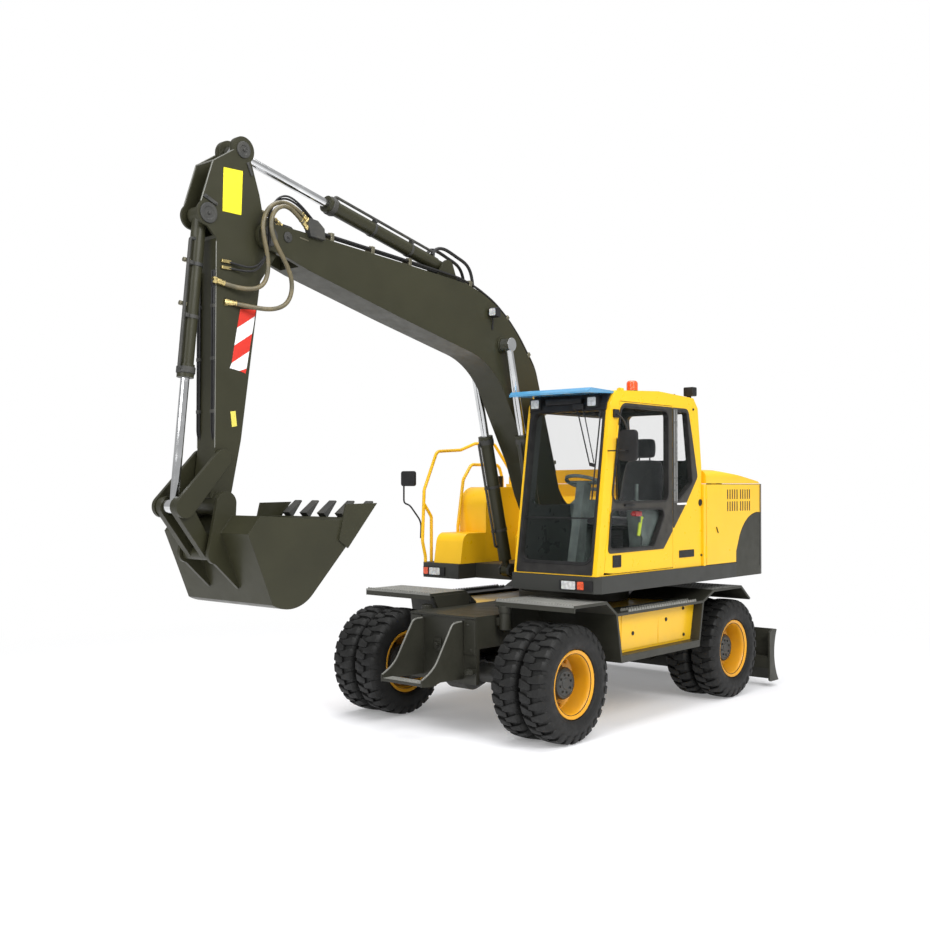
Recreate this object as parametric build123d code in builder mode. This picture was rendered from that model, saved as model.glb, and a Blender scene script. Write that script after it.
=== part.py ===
from build123d import *

import os
from math import hypot

# A wheeled excavator. X points forward, Y to the machine's left, Z up, in millimetres.
# Everything is laid out about the slew axis, on the ground, and moved to the middle of the
# machine's length when it is written.

# ---- Driving dimensions --------------------------------------------------------------------
FIT = 0.3                     # running fit between a pin or spigot and its seat
SIDE_GAP = 7                  # room beside a rod's eye, which floats between its lugs

OVERALL_WIDTH = 2495
HALF_WIDTH = OVERALL_WIDTH / 2
WHEELBASE = 2800
FRONT_AXLE_X = 1700
REAR_AXLE_X = FRONT_AXLE_X - WHEELBASE

# Wheels
TYRE_RADIUS = 502
TYRE_WIDTH = 264
TYRE_BORE = 256               # radius
TREAD_WIDTH = 212
TWIN_SPACING = 292
AXLE_Z = TYRE_RADIUS
OUTER_TYRE_Y = HALF_WIDTH - TYRE_WIDTH / 2
INNER_TYRE_Y = OUTER_TYRE_Y - TWIN_SPACING
RIM_WIDTH = 214
RIM_FLANGE = 291              # radius
RIM_SHEET = 14
HUB_FACE_Y = 905              # where a wheel's hub meets its axle
HUB_RADIUS = 150
HUB_CAP_RADIUS = 112
HUB_CAP_Y = HALF_WIDTH - 112.5

# Front axle and steering
KINGPIN_Y = 720
KINGPIN_RADIUS = 28
KNUCKLE_HALF_HEIGHT = 105
YOKE_PLATE = 40
AXLE_TUBE_RADIUS = 85
HOUSING_RADIUS = 170
STEER_ARM_BACK = 210          # steering arm's end behind the kingpin
STEER_ARM_IN = 80             # and inboard of it
STEER_ROD_RADIUS = 18
STEER_BARREL_RADIUS = 42
STEER_Z = AXLE_Z + 90         # the steering cylinder passes over the prop shaft

# Chassis
FRAME_HALF_WIDTH = 390
FRAME_TOP = 1030
FRAME_BOTTOM = 620
NOSE_X = FRONT_AXLE_X + 300
NOSE_BOTTOM = 440
TAIL_X = REAR_AXLE_X - 500
ARCH_TOP = 750
ARCH_HALF = 255
PLATE = 25                    # mudguard and step plates
MUDGUARD_TOP = 1165
REAR_MUDGUARD_TOP = 1140
BOX_REAR_X = REAR_AXLE_X + 755
BOX_BOTTOM = 670
STEP_TOP = 1048
SILL_BOTTOM = 605
BOX_FACE_Y = 1150

# Slewing joint and upper structure
RING_RADIUS = 560
RING_BORE = 400
RING_SPLIT_Z = 1120
DECK_BOTTOM = 1235
DECK_TOP = 1385
TAIL_RADIUS = 2220
CAB_FRONT_X = 1385
SLOT_LEFT_Y = 300
SLOT_RIGHT_Y = -720
RIGHT_DECK_X = 970
SLOT_FRONT_X = 700

# Cab
CAB_RIGHT_Y = 320
CAB_LEFT_Y = 1227.5
CAB_REAR_X = -438
CAB_WALL = 50
DOOR_REAR_X = 113
DOOR_GAP = 5
GLASS = 8

# Rear housing
HOOD_SEAM_Z = 2190
HOUSING_FRONT_X = -445
HOUSING_REAR_X = -1660
SIDE_DOOR_FRONT_X = -500
SIDE_DOOR_THICK = 40
SIDE_DOOR_GAP = 5

# Working equipment: pins in the machine's middle plane, as (X, Z)
BOOM_FOOT = (450, 1720)
BOOM_TIP = (4100, 4040)
BOOM_CYL_FOOT = (810, 1340)
BOOM_CYL_HEAD = (1350, 3478)
ARM_CYL_FOOT = (2020, 4120)
ARM_CYL_HEAD = (4310, 4650)
BUCKET_CYL_FOOT = (4620, 4130)
ROCKER_PIN = (4510, 2370)
LINK_PIN = (4830, 2030)
BUCKET_PIN = (4510, 2050)
BUCKET_LINK_PIN = (4600, 1690)
BLADE_PIN = (TAIL_X - 50, 560)
BLADE_CYL_FOOT = (TAIL_X - 60, 960)
BLADE_CYL_HEAD = (TAIL_X - 260, 525)

BOOM_HALF_WIDTH = 150
BOOM_FORK = 112               # half of the gap that the arm turns in
ARM_HALF_WIDTH = 105
ARM_TIP_HALF = 150
ROCKER_IN, ROCKER_OUT = 120, 150
EAR_IN, EAR_OUT = 157, 187
BUCKET_HALF_WIDTH = 500
BUCKET_SHEET = 20
BLADE_HALF_WIDTH = HALF_WIDTH
LINK_BOSS = 80                # radius of the bosses at the rod end of the bucket linkage
LINK_FOOT = 46                # radius of the link's closed foot, which floats between the ears

# The origin is under the middle of the machine's length.
MIDDLE_X = (LINK_PIN[0] + LINK_BOSS - TAIL_RADIUS) / 2

os.makedirs("parts", exist_ok=True)


# ---- Helpers -------------------------------------------------------------------------------
def save(builder, name):
    """Move a finished piece to the shared frame and write it."""
    piece = builder.part.moved(Location((-MIDDLE_X, 0, 0)))
    piece.label = name
    export_step(piece, f"parts/{name}.step")


def side_face(points):
    """A face in the XZ plane with these corners, as (X, Z)."""
    with BuildSketch(Plane.XZ) as sketch:
        with BuildLine():
            Polyline(*points, close=True)
        make_face()
    return sketch.sketch


def across(face, y_low, y_high, mode=Mode.ADD):
    """Extrude a face in the XZ plane from y_low to y_high."""
    extrude(face.moved(Location((0, y_high, 0))), amount=y_high - y_low, dir=(0, -1, 0), mode=mode)


def plate(points, y_low, y_high, mode=Mode.ADD):
    """A plate with this side view, from y_low to y_high."""
    across(side_face(points), y_low, y_high, mode)


def block(x, y, z, mode=Mode.ADD):
    """A box between two corners, given as pairs."""
    with Locations(((x[0] + x[1]) / 2, (y[0] + y[1]) / 2, (z[0] + z[1]) / 2)):
        Box(abs(x[1] - x[0]), abs(y[1] - y[0]), abs(z[1] - z[0]), mode=mode)


def pin(at, radius, y_low, y_high, mode=Mode.ADD):
    """A cylinder along Y through (X, Z)."""
    with BuildSketch(Plane.XZ.offset(-y_high)) as sketch:
        with Locations(at):
            Circle(radius)
    extrude(sketch.sketch, amount=y_high - y_low, mode=mode)


def post(at, radius, z_low, z_high, mode=Mode.ADD):
    """A cylinder along Z at (X, Y)."""
    with BuildSketch(Plane.XY.offset(z_low)) as sketch:
        with Locations(at):
            Circle(radius)
    extrude(sketch.sketch, amount=z_high - z_low, mode=mode)


def turned(x, z, points, mode=Mode.ADD):
    """A solid of revolution about the line along Y through (x, z); points are (Y, radius)."""
    with BuildSketch(Plane((x, 0, z), x_dir=(0, 1, 0), z_dir=(1, 0, 0))) as sketch:
        with BuildLine():
            Polyline(*points, close=True)
        make_face()
    revolve(sketch.sketch, axis=Axis((x, 0, z), (0, 1, 0)), mode=mode)


def along(start, end):
    """The plane whose normal runs from one pin to another in the XZ plane, and their distance."""
    length = hypot(end[0] - start[0], end[1] - start[1])
    way = ((end[0] - start[0]) / length, 0, (end[1] - start[1]) / length)
    return way, length


def rod(start, end, radius, y=0, begin=0, finish=None, mode=Mode.ADD):
    """A cylinder on the line between two pins, from `begin` to `finish` along it."""
    way, length = along(start, end)
    finish = length if finish is None else finish
    origin = (start[0] + way[0] * begin, y, start[1] + way[2] * begin)
    with BuildSketch(Plane(origin, x_dir=(0, 1, 0), z_dir=way)) as sketch:
        Circle(radius)
    extrude(sketch.sketch, amount=finish - begin, mode=mode)


def cylinder_barrel(foot, head, radius, rod_radius, barrel_length, eye_radius, eye_half,
                    pin_radius, neck, rows=(0,)):
    """A hydraulic barrel with its base eye, neck and gland, one at each Y in rows."""
    for y in rows:
        pin(foot, eye_radius, y - eye_half, y + eye_half)
        rod(foot, head, min(radius, eye_half), y, 0, neck + 1)
        rod(foot, head, radius, y, neck, barrel_length)
        rod(foot, head, radius + 9, y, barrel_length - 95, barrel_length)
        rod(foot, head, rod_radius + FIT, y, max(neck, eye_radius) + 20, barrel_length,
            mode=Mode.SUBTRACT)
        pin(foot, pin_radius + FIT, y - eye_half, y + eye_half, mode=Mode.SUBTRACT)


def cylinder_rod(foot, head, rod_radius, rod_length, eye_radius, eye_half, rows=(0,)):
    """A chromed rod with the closed eye that floats beside or between its lugs."""
    _, length = along(foot, head)
    for y in rows:
        rod(foot, head, rod_radius, y, length - rod_length, length)
        pin(head, eye_radius, y - eye_half, y + eye_half)


# ---- Wheels --------------------------------------------------------------------------------
# corner name, X of the axle, side (+1 left, -1 right)
WHEELS = (
    ("front_left", FRONT_AXLE_X, 1),
    ("front_right", FRONT_AXLE_X, -1),
    ("rear_left", REAR_AXLE_X, 1),
    ("rear_right", REAR_AXLE_X, -1),
)


def tyre_section(middle):
    """Half section of a tyre as (Y, radius), about its own middle."""
    half = TYRE_WIDTH / 2
    tread = TREAD_WIDTH / 2
    bead = RIM_WIDTH / 2 - 13
    right = [(bead, TYRE_BORE), (bead, RIM_FLANGE + 3), (bead + 18, RIM_FLANGE + 10),
             (half, TYRE_RADIUS - 128), (half, TYRE_RADIUS - 84), (half - 8, TYRE_RADIUS - 26),
             (tread, TYRE_RADIUS)]
    left = [(-y, r) for y, r in reversed(right)]
    return [(middle + y, r) for y, r in right + left]


def rim_section(middle, dish):
    """Section of one rim; dish is the Y of its disc, on the side where the twins meet."""
    half = RIM_WIDTH / 2
    seat = TYRE_BORE - FIT
    way = 1 if dish > middle else -1
    far = middle - way * half
    near = middle + way * half
    return [(far, RIM_FLANGE), (far + way * 12, RIM_FLANGE), (far + way * 12, seat),
            (near - way * 12, seat), (near - way * 12, RIM_FLANGE), (near, RIM_FLANGE),
            (near, seat - RIM_SHEET), (dish, HUB_RADIUS + 20), (dish, HUB_RADIUS - 40),
            (dish - way * RIM_SHEET, HUB_RADIUS - 40), (dish - way * RIM_SHEET, HUB_RADIUS + 14),
            (near - way * 26, seat - RIM_SHEET), (far, seat - RIM_SHEET)]


TWIN_MEET_Y = (OUTER_TYRE_Y + INNER_TYRE_Y) / 2

for corner, axle_x, side in WHEELS:
    with BuildPart() as tyres:
        for middle in (OUTER_TYRE_Y, INNER_TYRE_Y):
            turned(axle_x, AXLE_Z, [(side * y, r) for y, r in tyre_section(middle)])
    save(tyres, f"tyres_{corner}")

    with BuildPart() as wheel:
        for middle in (OUTER_TYRE_Y, INNER_TYRE_Y):
            section = rim_section(middle, TWIN_MEET_Y)
            turned(axle_x, AXLE_Z, [(side * y, r) for y, r in section])
        hub = [(HUB_FACE_Y + FIT, 0), (HUB_FACE_Y + FIT, HUB_RADIUS), (TWIN_MEET_Y + 26, HUB_RADIUS),
               (TWIN_MEET_Y + 26, HUB_CAP_RADIUS), (HUB_CAP_Y - 18, HUB_CAP_RADIUS),
               (HUB_CAP_Y, HUB_CAP_RADIUS - 22), (HUB_CAP_Y, 0)]
        turned(axle_x, AXLE_Z, [(side * y, r) for y, r in hub])
    save(wheel, f"wheel_{corner}")

# ---- Axles and steering --------------------------------------------------------------------
YOKE_Y = KINGPIN_Y - 130
YOKE_END = 42                 # end of the yoke plates beyond the kingpin
STEER_ARM_LOW = STEER_Z - 60
STEER_ARM_THICK = 30

with BuildPart() as front_axle:
    turned(FRONT_AXLE_X, AXLE_Z, [(-210, 0), (-210, 110), (-110, HOUSING_RADIUS),
                                  (110, HOUSING_RADIUS), (210, 110), (210, 0)])
    pin((FRONT_AXLE_X, AXLE_Z), AXLE_TUBE_RADIUS, -YOKE_Y, YOKE_Y)
    block((FRONT_AXLE_X - 120, FRONT_AXLE_X + 120), (-90, 90), (AXLE_Z + 60, ARCH_TOP))
    for side in (1, -1):
        top = KNUCKLE_HALF_HEIGHT + FIT + YOKE_PLATE
        block((FRONT_AXLE_X - 75, FRONT_AXLE_X + 75), (side * YOKE_Y, side * (YOKE_Y + 50)),
              (AXLE_Z - top, AXLE_Z + top))
        for level in (1, -1):
            low = level * (KNUCKLE_HALF_HEIGHT + FIT)
            block((FRONT_AXLE_X - 55, FRONT_AXLE_X + 55),
                  (side * YOKE_Y, side * (KINGPIN_Y + YOKE_END)),
                  (AXLE_Z + low, AXLE_Z + low + level * YOKE_PLATE))
        post((FRONT_AXLE_X, side * KINGPIN_Y), KINGPIN_RADIUS + FIT, AXLE_Z - top, AXLE_Z + top,
             mode=Mode.SUBTRACT)
        # window that the steering arm swings through
        block((FRONT_AXLE_X - 100, FRONT_AXLE_X + 5), (side * (YOKE_Y - 30), side * (YOKE_Y + 60)),
              (STEER_ARM_LOW - 7, STEER_ARM_LOW + STEER_ARM_THICK + 7), mode=Mode.SUBTRACT)
    steer_x = FRONT_AXLE_X - STEER_ARM_BACK
    pin((steer_x, STEER_Z), STEER_BARREL_RADIUS, -260, 260)
    block((steer_x, FRONT_AXLE_X - 100), (-100, 100), (STEER_Z - 25, STEER_Z + 25))
    pin((steer_x, STEER_Z), STEER_ROD_RADIUS + FIT, -260, 260, mode=Mode.SUBTRACT)
save(front_axle, "front_axle")

ARM_EYE_RADIUS = 34
for name, side in (("left", 1), ("right", -1)):
    eye = (FRONT_AXLE_X - STEER_ARM_BACK, side * (KINGPIN_Y - STEER_ARM_IN))
    with BuildPart() as knuckle:
        post((FRONT_AXLE_X, side * KINGPIN_Y), 58, AXLE_Z - KNUCKLE_HALF_HEIGHT,
             AXLE_Z + KNUCKLE_HALF_HEIGHT)
        post((FRONT_AXLE_X, side * KINGPIN_Y), KINGPIN_RADIUS,
             AXLE_Z - KNUCKLE_HALF_HEIGHT - YOKE_PLATE, AXLE_Z + KNUCKLE_HALF_HEIGHT + YOKE_PLATE)
        turned(FRONT_AXLE_X, AXLE_Z,
               [(side * KINGPIN_Y, 0), (side * KINGPIN_Y, 60), (side * (KINGPIN_Y + 68), 75),
                (side * (KINGPIN_Y + 80), HUB_RADIUS), (side * HUB_FACE_Y, HUB_RADIUS),
                (side * HUB_FACE_Y, 0)])
        # the steering arm lies under the rod's eye
        with BuildSketch(Plane.XY.offset(STEER_ARM_LOW)) as arm_plan:
            with BuildLine():
                Polyline((FRONT_AXLE_X - 20, side * (KINGPIN_Y + 60)),
                         (FRONT_AXLE_X - 20, side * (KINGPIN_Y - 45)),
                         (eye[0] - 10, eye[1] - side * 30), (eye[0] - 25, eye[1]),
                         (eye[0] + 5, eye[1] + side * 32),
                         (FRONT_AXLE_X - 110, side * (KINGPIN_Y + 60)), close=True)
            make_face()
        extrude(arm_plan.sketch, amount=STEER_ARM_THICK)
        post(eye, ARM_EYE_RADIUS, STEER_ARM_LOW, STEER_ARM_LOW + STEER_ARM_THICK)
    save(knuckle, f"knuckle_{name}")

with BuildPart() as steering_rod:
    reach = KINGPIN_Y - STEER_ARM_IN
    pin((steer_x, STEER_Z), STEER_ROD_RADIUS, -reach, reach)
    for side in (1, -1):
        post((steer_x, side * reach), ARM_EYE_RADIUS - 4, STEER_ARM_LOW + STEER_ARM_THICK + SIDE_GAP,
             STEER_Z + 23)
save(steering_rod, "steering_rod")

with BuildPart() as rear_axle:
    turned(REAR_AXLE_X, AXLE_Z, [(-230, 0), (-230, 115), (-120, HOUSING_RADIUS + 25),
                                 (120, HOUSING_RADIUS + 25), (230, 115), (230, 0)])
    pin((REAR_AXLE_X, AXLE_Z), AXLE_TUBE_RADIUS, -HUB_FACE_Y, HUB_FACE_Y)
    for side in (1, -1):
        pin((REAR_AXLE_X, AXLE_Z), HUB_RADIUS,
            min(side * 780, side * HUB_FACE_Y), max(side * 780, side * HUB_FACE_Y))
        block((REAR_AXLE_X - 70, REAR_AXLE_X + 70), (side * 250, side * 370),
              (AXLE_Z, ARCH_TOP))
save(rear_axle, "rear_axle")

# ---- Chassis -------------------------------------------------------------------------------
BLADE_LUGS = ((190, 228), (307, 345))     # |Y| of the lugs on the tail
BLADE_ARM = (235, 300)                    # |Y| of the blade's arms

with BuildPart() as chassis_frame:
    plate([(TAIL_X, FRAME_BOTTOM), (TAIL_X, FRAME_TOP), (NOSE_X, FRAME_TOP), (NOSE_X, NOSE_BOTTOM),
           (NOSE_X - 130, NOSE_BOTTOM), (FRONT_AXLE_X, FRAME_BOTTOM)],
          -FRAME_HALF_WIDTH, FRAME_HALF_WIDTH)
    for axle_x in (FRONT_AXLE_X, REAR_AXLE_X):
        block((axle_x - ARCH_HALF, axle_x + ARCH_HALF), (-FRAME_HALF_WIDTH, FRAME_HALF_WIDTH),
              (0, ARCH_TOP), mode=Mode.SUBTRACT)
    # ring foot under the slewing joint
    post((0, 0), RING_RADIUS, FRAME_TOP, RING_SPLIT_Z)
    post((0, 0), RING_BORE, FRAME_TOP, RING_SPLIT_Z, mode=Mode.SUBTRACT)
    # blade lugs and pins on the tail
    for side in (1, -1):
        for low, high in BLADE_LUGS:
            y_low, y_high = sorted((side * low, side * high))
            plate([(TAIL_X, BLADE_PIN[1] + 90), (TAIL_X - 50, BLADE_PIN[1] + 55),
                   (TAIL_X - 95, BLADE_PIN[1] + 35), (TAIL_X - 95, BLADE_PIN[1] - 35),
                   (TAIL_X - 50, BLADE_PIN[1] - 55), (TAIL_X, BLADE_PIN[1] - 40),
                   (TAIL_X + 60, FRAME_BOTTOM), (TAIL_X + 60, FRAME_BOTTOM + 90)],
                  y_low, y_high)
            plate([(TAIL_X, BLADE_CYL_FOOT[1] + 55), (TAIL_X - 70, BLADE_CYL_FOOT[1] + 40),
                   (TAIL_X - 105, BLADE_CYL_FOOT[1]), (TAIL_X - 70, BLADE_CYL_FOOT[1] - 40),
                   (TAIL_X, BLADE_CYL_FOOT[1] - 55)], y_low, y_high)
        y_low, y_high = sorted((side * BLADE_LUGS[0][0], side * BLADE_LUGS[1][1]))
        pin(BLADE_PIN, 25, y_low, y_high)
        pin(BLADE_CYL_FOOT, 20, y_low, y_high)
save(chassis_frame, "chassis_frame")

LADDER_Y = 230
LADDER_REACH = NOSE_X + 535
LADDER_TREAD_Z = 475

with BuildPart() as front_steps:
    with BuildSketch(Plane.XZ) as cheek:
        with BuildLine():
            Polyline((NOSE_X, NOSE_BOTTOM + 40), (NOSE_X, 985), (NOSE_X + 90, 985))
            ThreePointArc((NOSE_X + 90, 985), (NOSE_X + 138, 970), (NOSE_X + 168, 930))
            Line((NOSE_X + 168, 930), (LADDER_REACH - 180, 640))
            ThreePointArc((LADDER_REACH - 180, 640), (LADDER_REACH - 105, 575),
                          (LADDER_REACH, LADDER_TREAD_Z + 55))
            Polyline((LADDER_REACH, LADDER_TREAD_Z + 55), (LADDER_REACH, LADDER_TREAD_Z),
                     (LADDER_REACH - 135, LADDER_TREAD_Z - 13),
                     (LADDER_REACH - 235, LADDER_TREAD_Z + 12), (NOSE_X, NOSE_BOTTOM + 40))
        make_face()
    for side in (1, -1):
        low, high = sorted((side * LADDER_Y, side * (LADDER_Y + 12)))
        across(cheek.sketch, low, high)
    block((LADDER_REACH - 130, LADDER_REACH), (-LADDER_Y, LADDER_Y),
          (LADDER_TREAD_Z + 5, LADDER_TREAD_Z + 30))
save(front_steps, "front_steps")

LUG_BORE = 25
LUG_HALF = 17.5
LUG_Y = 367.5
TOW_Z = 560                   # middle of the front lugs, whose bores are upright
TIE_Z = 780                   # bore of the rear lugs
with BuildPart() as tow_lugs:
    for side in (1, -1):
        with BuildSketch(Plane.XY.offset(TOW_Z - LUG_HALF)) as tongue:
            with BuildLine():
                Polyline((NOSE_X + 100, side * (LUG_Y - 22)), (NOSE_X + 60, side * (LUG_Y - 60)),
                         (NOSE_X, side * (LUG_Y - 60)), (NOSE_X, side * FRAME_HALF_WIDTH),
                         (NOSE_X + 60, side * (LUG_Y + 35)), (NOSE_X + 100, side * (LUG_Y + 12)),
                         close=True)
            make_face()
        extrude(tongue.sketch, amount=2 * LUG_HALF)
        post((NOSE_X + 55, side * (LUG_Y - 10)), LUG_BORE, TOW_Z - LUG_HALF, TOW_Z + LUG_HALF,
             mode=Mode.SUBTRACT)
        low, high = sorted((side * (LUG_Y - LUG_HALF), side * (LUG_Y + LUG_HALF)))
        plate([(TAIL_X, TIE_Z - 60), (TAIL_X - 60, TIE_Z - 50), (TAIL_X - 100, TIE_Z),
               (TAIL_X - 60, TIE_Z + 50), (TAIL_X, TIE_Z + 60)], low, high)
        pin((TAIL_X - 50, TIE_Z), LUG_BORE, low, high, mode=Mode.SUBTRACT)
save(tow_lugs, "tow_lugs")

with BuildPart() as driveline:
    block((150, 460), (-190, 190), (430, FRAME_BOTTOM))
    for start, end in ((460, FRONT_AXLE_X - HOUSING_RADIUS),
                       (REAR_AXLE_X + HOUSING_RADIUS + 25, 150)):
        with BuildSketch(Plane.YZ.offset(start)) as shaft:
            with Locations((0, AXLE_Z)):
                Circle(36)
        extrude(shaft.sketch, amount=end - start)
save(driveline, "driveline")


def front_wall_x(z):
    """X of the front mudguard's wall on the side of the tool box."""
    return FRONT_AXLE_X - 700 + (z - SILL_BOTTOM) * 85 / 443


def rear_wall_x(z):
    """X of the rear mudguard's wall on the side of the tool box."""
    return BOX_REAR_X - (z - BOX_BOTTOM) * 75 / 353


FRONT_EDGE_X = FRONT_AXLE_X + 40
FRONT_UNDER = MUDGUARD_TOP - PLATE
REAR_UNDER = REAR_MUDGUARD_TOP - PLATE

with BuildPart() as mudguards:
    for side in (1, -1):
        low, high = sorted((side * FRAME_HALF_WIDTH, side * HALF_WIDTH))
        plate([(FRONT_EDGE_X, MUDGUARD_TOP), (FRONT_AXLE_X - 450, MUDGUARD_TOP),
               (front_wall_x(STEP_TOP), STEP_TOP), (front_wall_x(SILL_BOTTOM), SILL_BOTTOM),
               (front_wall_x(SILL_BOTTOM) + PLATE, SILL_BOTTOM), (front_wall_x(1036) + PLATE, 1036),
               (FRONT_AXLE_X - 441, FRONT_UNDER), (FRONT_EDGE_X - 13, FRONT_UNDER),
               (FRONT_EDGE_X - 13, MUDGUARD_TOP - 60), (FRONT_EDGE_X, MUDGUARD_TOP - 60)], low, high)
        plate([(rear_wall_x(STEP_TOP), STEP_TOP), (REAR_AXLE_X + 455, REAR_MUDGUARD_TOP),
               (REAR_AXLE_X - 130, REAR_MUDGUARD_TOP), (REAR_AXLE_X - 325, 996),
               (REAR_AXLE_X - 305, 982), (REAR_AXLE_X - 122, REAR_UNDER),
               (REAR_AXLE_X + 450, REAR_UNDER), (rear_wall_x(1030) - PLATE, 1030),
               (rear_wall_x(SILL_BOTTOM) - PLATE, SILL_BOTTOM), (rear_wall_x(SILL_BOTTOM), SILL_BOTTOM)],
              low, high)
        # gussets that stand on the frame
        low, high = sorted((side * (FRAME_HALF_WIDTH - 14), side * (FRAME_HALF_WIDTH + 10)))
        plate([(FRONT_AXLE_X - 50, FRAME_TOP), (FRONT_EDGE_X - 25, FRONT_UNDER + 2),
               (FRONT_AXLE_X - 438, FRONT_UNDER + 2), (FRONT_AXLE_X - 495, 1105),
               (FRONT_AXLE_X - 500, FRAME_TOP)], low, high)
        plate([(REAR_AXLE_X + 400, FRAME_TOP), (REAR_AXLE_X + 400, REAR_UNDER + 2),
               (REAR_AXLE_X - 100, REAR_UNDER + 2), (REAR_AXLE_X - 100, FRAME_TOP)], low, high)
save(mudguards, "mudguards")

BOX_TOP = STEP_TOP - PLATE
with BuildPart() as tool_boxes:
    for side in (1, -1):
        low, high = sorted((side * FRAME_HALF_WIDTH, side * BOX_FACE_Y))
        plate([(front_wall_x(BOX_BOTTOM), BOX_BOTTOM), (front_wall_x(BOX_TOP), BOX_TOP),
               (rear_wall_x(BOX_TOP), BOX_TOP), (rear_wall_x(BOX_BOTTOM), BOX_BOTTOM)], low, high)
save(tool_boxes, "tool_boxes")

STEP_IN_Y = 960
with BuildPart() as box_steps:
    for side in (1, -1):
        low, high = sorted((side * STEP_IN_Y, side * HALF_WIDTH))
        plate([(front_wall_x(BOX_TOP), BOX_TOP), (front_wall_x(STEP_TOP), STEP_TOP),
               (rear_wall_x(STEP_TOP), STEP_TOP), (rear_wall_x(BOX_TOP), BOX_TOP)], low, high)
        plate([(front_wall_x(SILL_BOTTOM), SILL_BOTTOM), (front_wall_x(BOX_BOTTOM), BOX_BOTTOM),
               (rear_wall_x(BOX_BOTTOM), BOX_BOTTOM), (rear_wall_x(SILL_BOTTOM), SILL_BOTTOM)],
              low, high)
save(box_steps, "box_steps")

# ---- Blade ---------------------------------------------------------------------------------
BLADE_TOP = 610
BLADE_FOOT = 62
BLADE_BACK_X = TAIL_X - 435
BLADE_SHEET = 22
BLADE_CYL_ROWS = (267.5, -267.5)

with BuildPart() as blade:
    with BuildSketch(Plane.XZ) as mouldboard:
        with BuildLine():
            ThreePointArc((BLADE_BACK_X - 40, BLADE_FOOT), (BLADE_BACK_X + 60, 350),
                          (BLADE_BACK_X, BLADE_TOP))
            Line((BLADE_BACK_X, BLADE_TOP), (BLADE_BACK_X + BLADE_SHEET, BLADE_TOP + 8))
            ThreePointArc((BLADE_BACK_X + BLADE_SHEET, BLADE_TOP + 8),
                          (BLADE_BACK_X + 60 + BLADE_SHEET, 350),
                          (BLADE_BACK_X - 40 + BLADE_SHEET, BLADE_FOOT))
            Line((BLADE_BACK_X - 40 + BLADE_SHEET, BLADE_FOOT), (BLADE_BACK_X - 40, BLADE_FOOT))
        make_face()
    across(mouldboard.sketch, -BLADE_HALF_WIDTH + 20, BLADE_HALF_WIDTH - 20)
    with BuildSketch(Plane.XZ) as cheek:
        with BuildLine():
            ThreePointArc((BLADE_BACK_X - 40, BLADE_FOOT), (BLADE_BACK_X + 60, 350),
                          (BLADE_BACK_X, BLADE_TOP))
            Polyline((BLADE_BACK_X, BLADE_TOP), (BLADE_BACK_X + 22, BLADE_TOP + 8),
                     (BLADE_BACK_X + 105, BLADE_TOP + 8), (BLADE_BACK_X + 167, BLADE_TOP - 20),
                     (BLADE_BACK_X + 167, BLADE_FOOT + 15), (BLADE_BACK_X + 140, BLADE_FOOT), (BLADE_BACK_X - 40, BLADE_FOOT))
        make_face()
    for side in (1, -1):
        low, high = sorted((side * (BLADE_HALF_WIDTH - 20), side * BLADE_HALF_WIDTH))
        across(cheek.sketch, low, high)
        # arm from the chassis pin to the mouldboard
        low, high = sorted((side * BLADE_ARM[0], side * BLADE_ARM[1]))
        pin(BLADE_PIN, 55, low, high)
        plate([(BLADE_PIN[0], BLADE_PIN[1] + 52), (BLADE_BACK_X + 275, 470), (BLADE_BACK_X + 50, 420),
               (BLADE_BACK_X + 50, 160), (BLADE_BACK_X + 185, 150),
               (BLADE_PIN[0] - 30, BLADE_PIN[1] - 50)], low, high)
        pin(BLADE_PIN, 25 + FIT, low, high, mode=Mode.SUBTRACT)
        # ears beside the cylinder's rod
        for ear in ((BLADE_ARM[0] - 14, BLADE_ARM[0]), (BLADE_ARM[1], BLADE_ARM[1] + 14)):
            low, high = sorted((side * ear[0], side * ear[1]))
            pin(BLADE_CYL_HEAD, 40, low, high)
            plate([(BLADE_CYL_HEAD[0] - 40, BLADE_CYL_HEAD[1]), (BLADE_CYL_HEAD[0] + 40, BLADE_CYL_HEAD[1]),
                   (BLADE_CYL_HEAD[0] + 60, 380), (BLADE_CYL_HEAD[0] - 70, 380)], low, high)
    block((BLADE_BACK_X + 60, BLADE_BACK_X + 155), (-BLADE_HALF_WIDTH + 20, BLADE_HALF_WIDTH - 20),
          (200, 330))
save(blade, "blade")

with BuildPart() as blade_barrels:
    cylinder_barrel(BLADE_CYL_FOOT, BLADE_CYL_HEAD, 34, 19, 300, 38, 32.5, 20, 70, BLADE_CYL_ROWS)
save(blade_barrels, "blade_barrels")

with BuildPart() as blade_rods:
    cylinder_rod(BLADE_CYL_FOOT, BLADE_CYL_HEAD, 19, 262, 32, 25.5, BLADE_CYL_ROWS)
save(blade_rods, "blade_rods")

# ---- Upper structure -----------------------------------------------------------------------
BOOM_CYL_Y = 225
BOOM_CYL_EYE_HALF = 35
BRACKET_IN = BOOM_HALF_WIDTH + 5
BRACKET_OUT = BRACKET_IN + 30
CYL_LUG_IN = BOOM_CYL_Y + BOOM_CYL_EYE_HALF + 5
CYL_LUG_OUT = CYL_LUG_IN + 20
BOOM_PIN_RADIUS = 42
CYL_PIN_RADIUS = 34
FOOT_BOSS = 125
PATCH_X = -1120               # where the deck ends and the counterweight begins

with BuildPart() as slew_ring:
    post((0, 0), RING_RADIUS - 25, RING_SPLIT_Z + FIT, DECK_BOTTOM)
    post((0, 0), RING_BORE, RING_SPLIT_Z + FIT, DECK_BOTTOM, mode=Mode.SUBTRACT)
save(slew_ring, "slew_ring")

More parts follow.
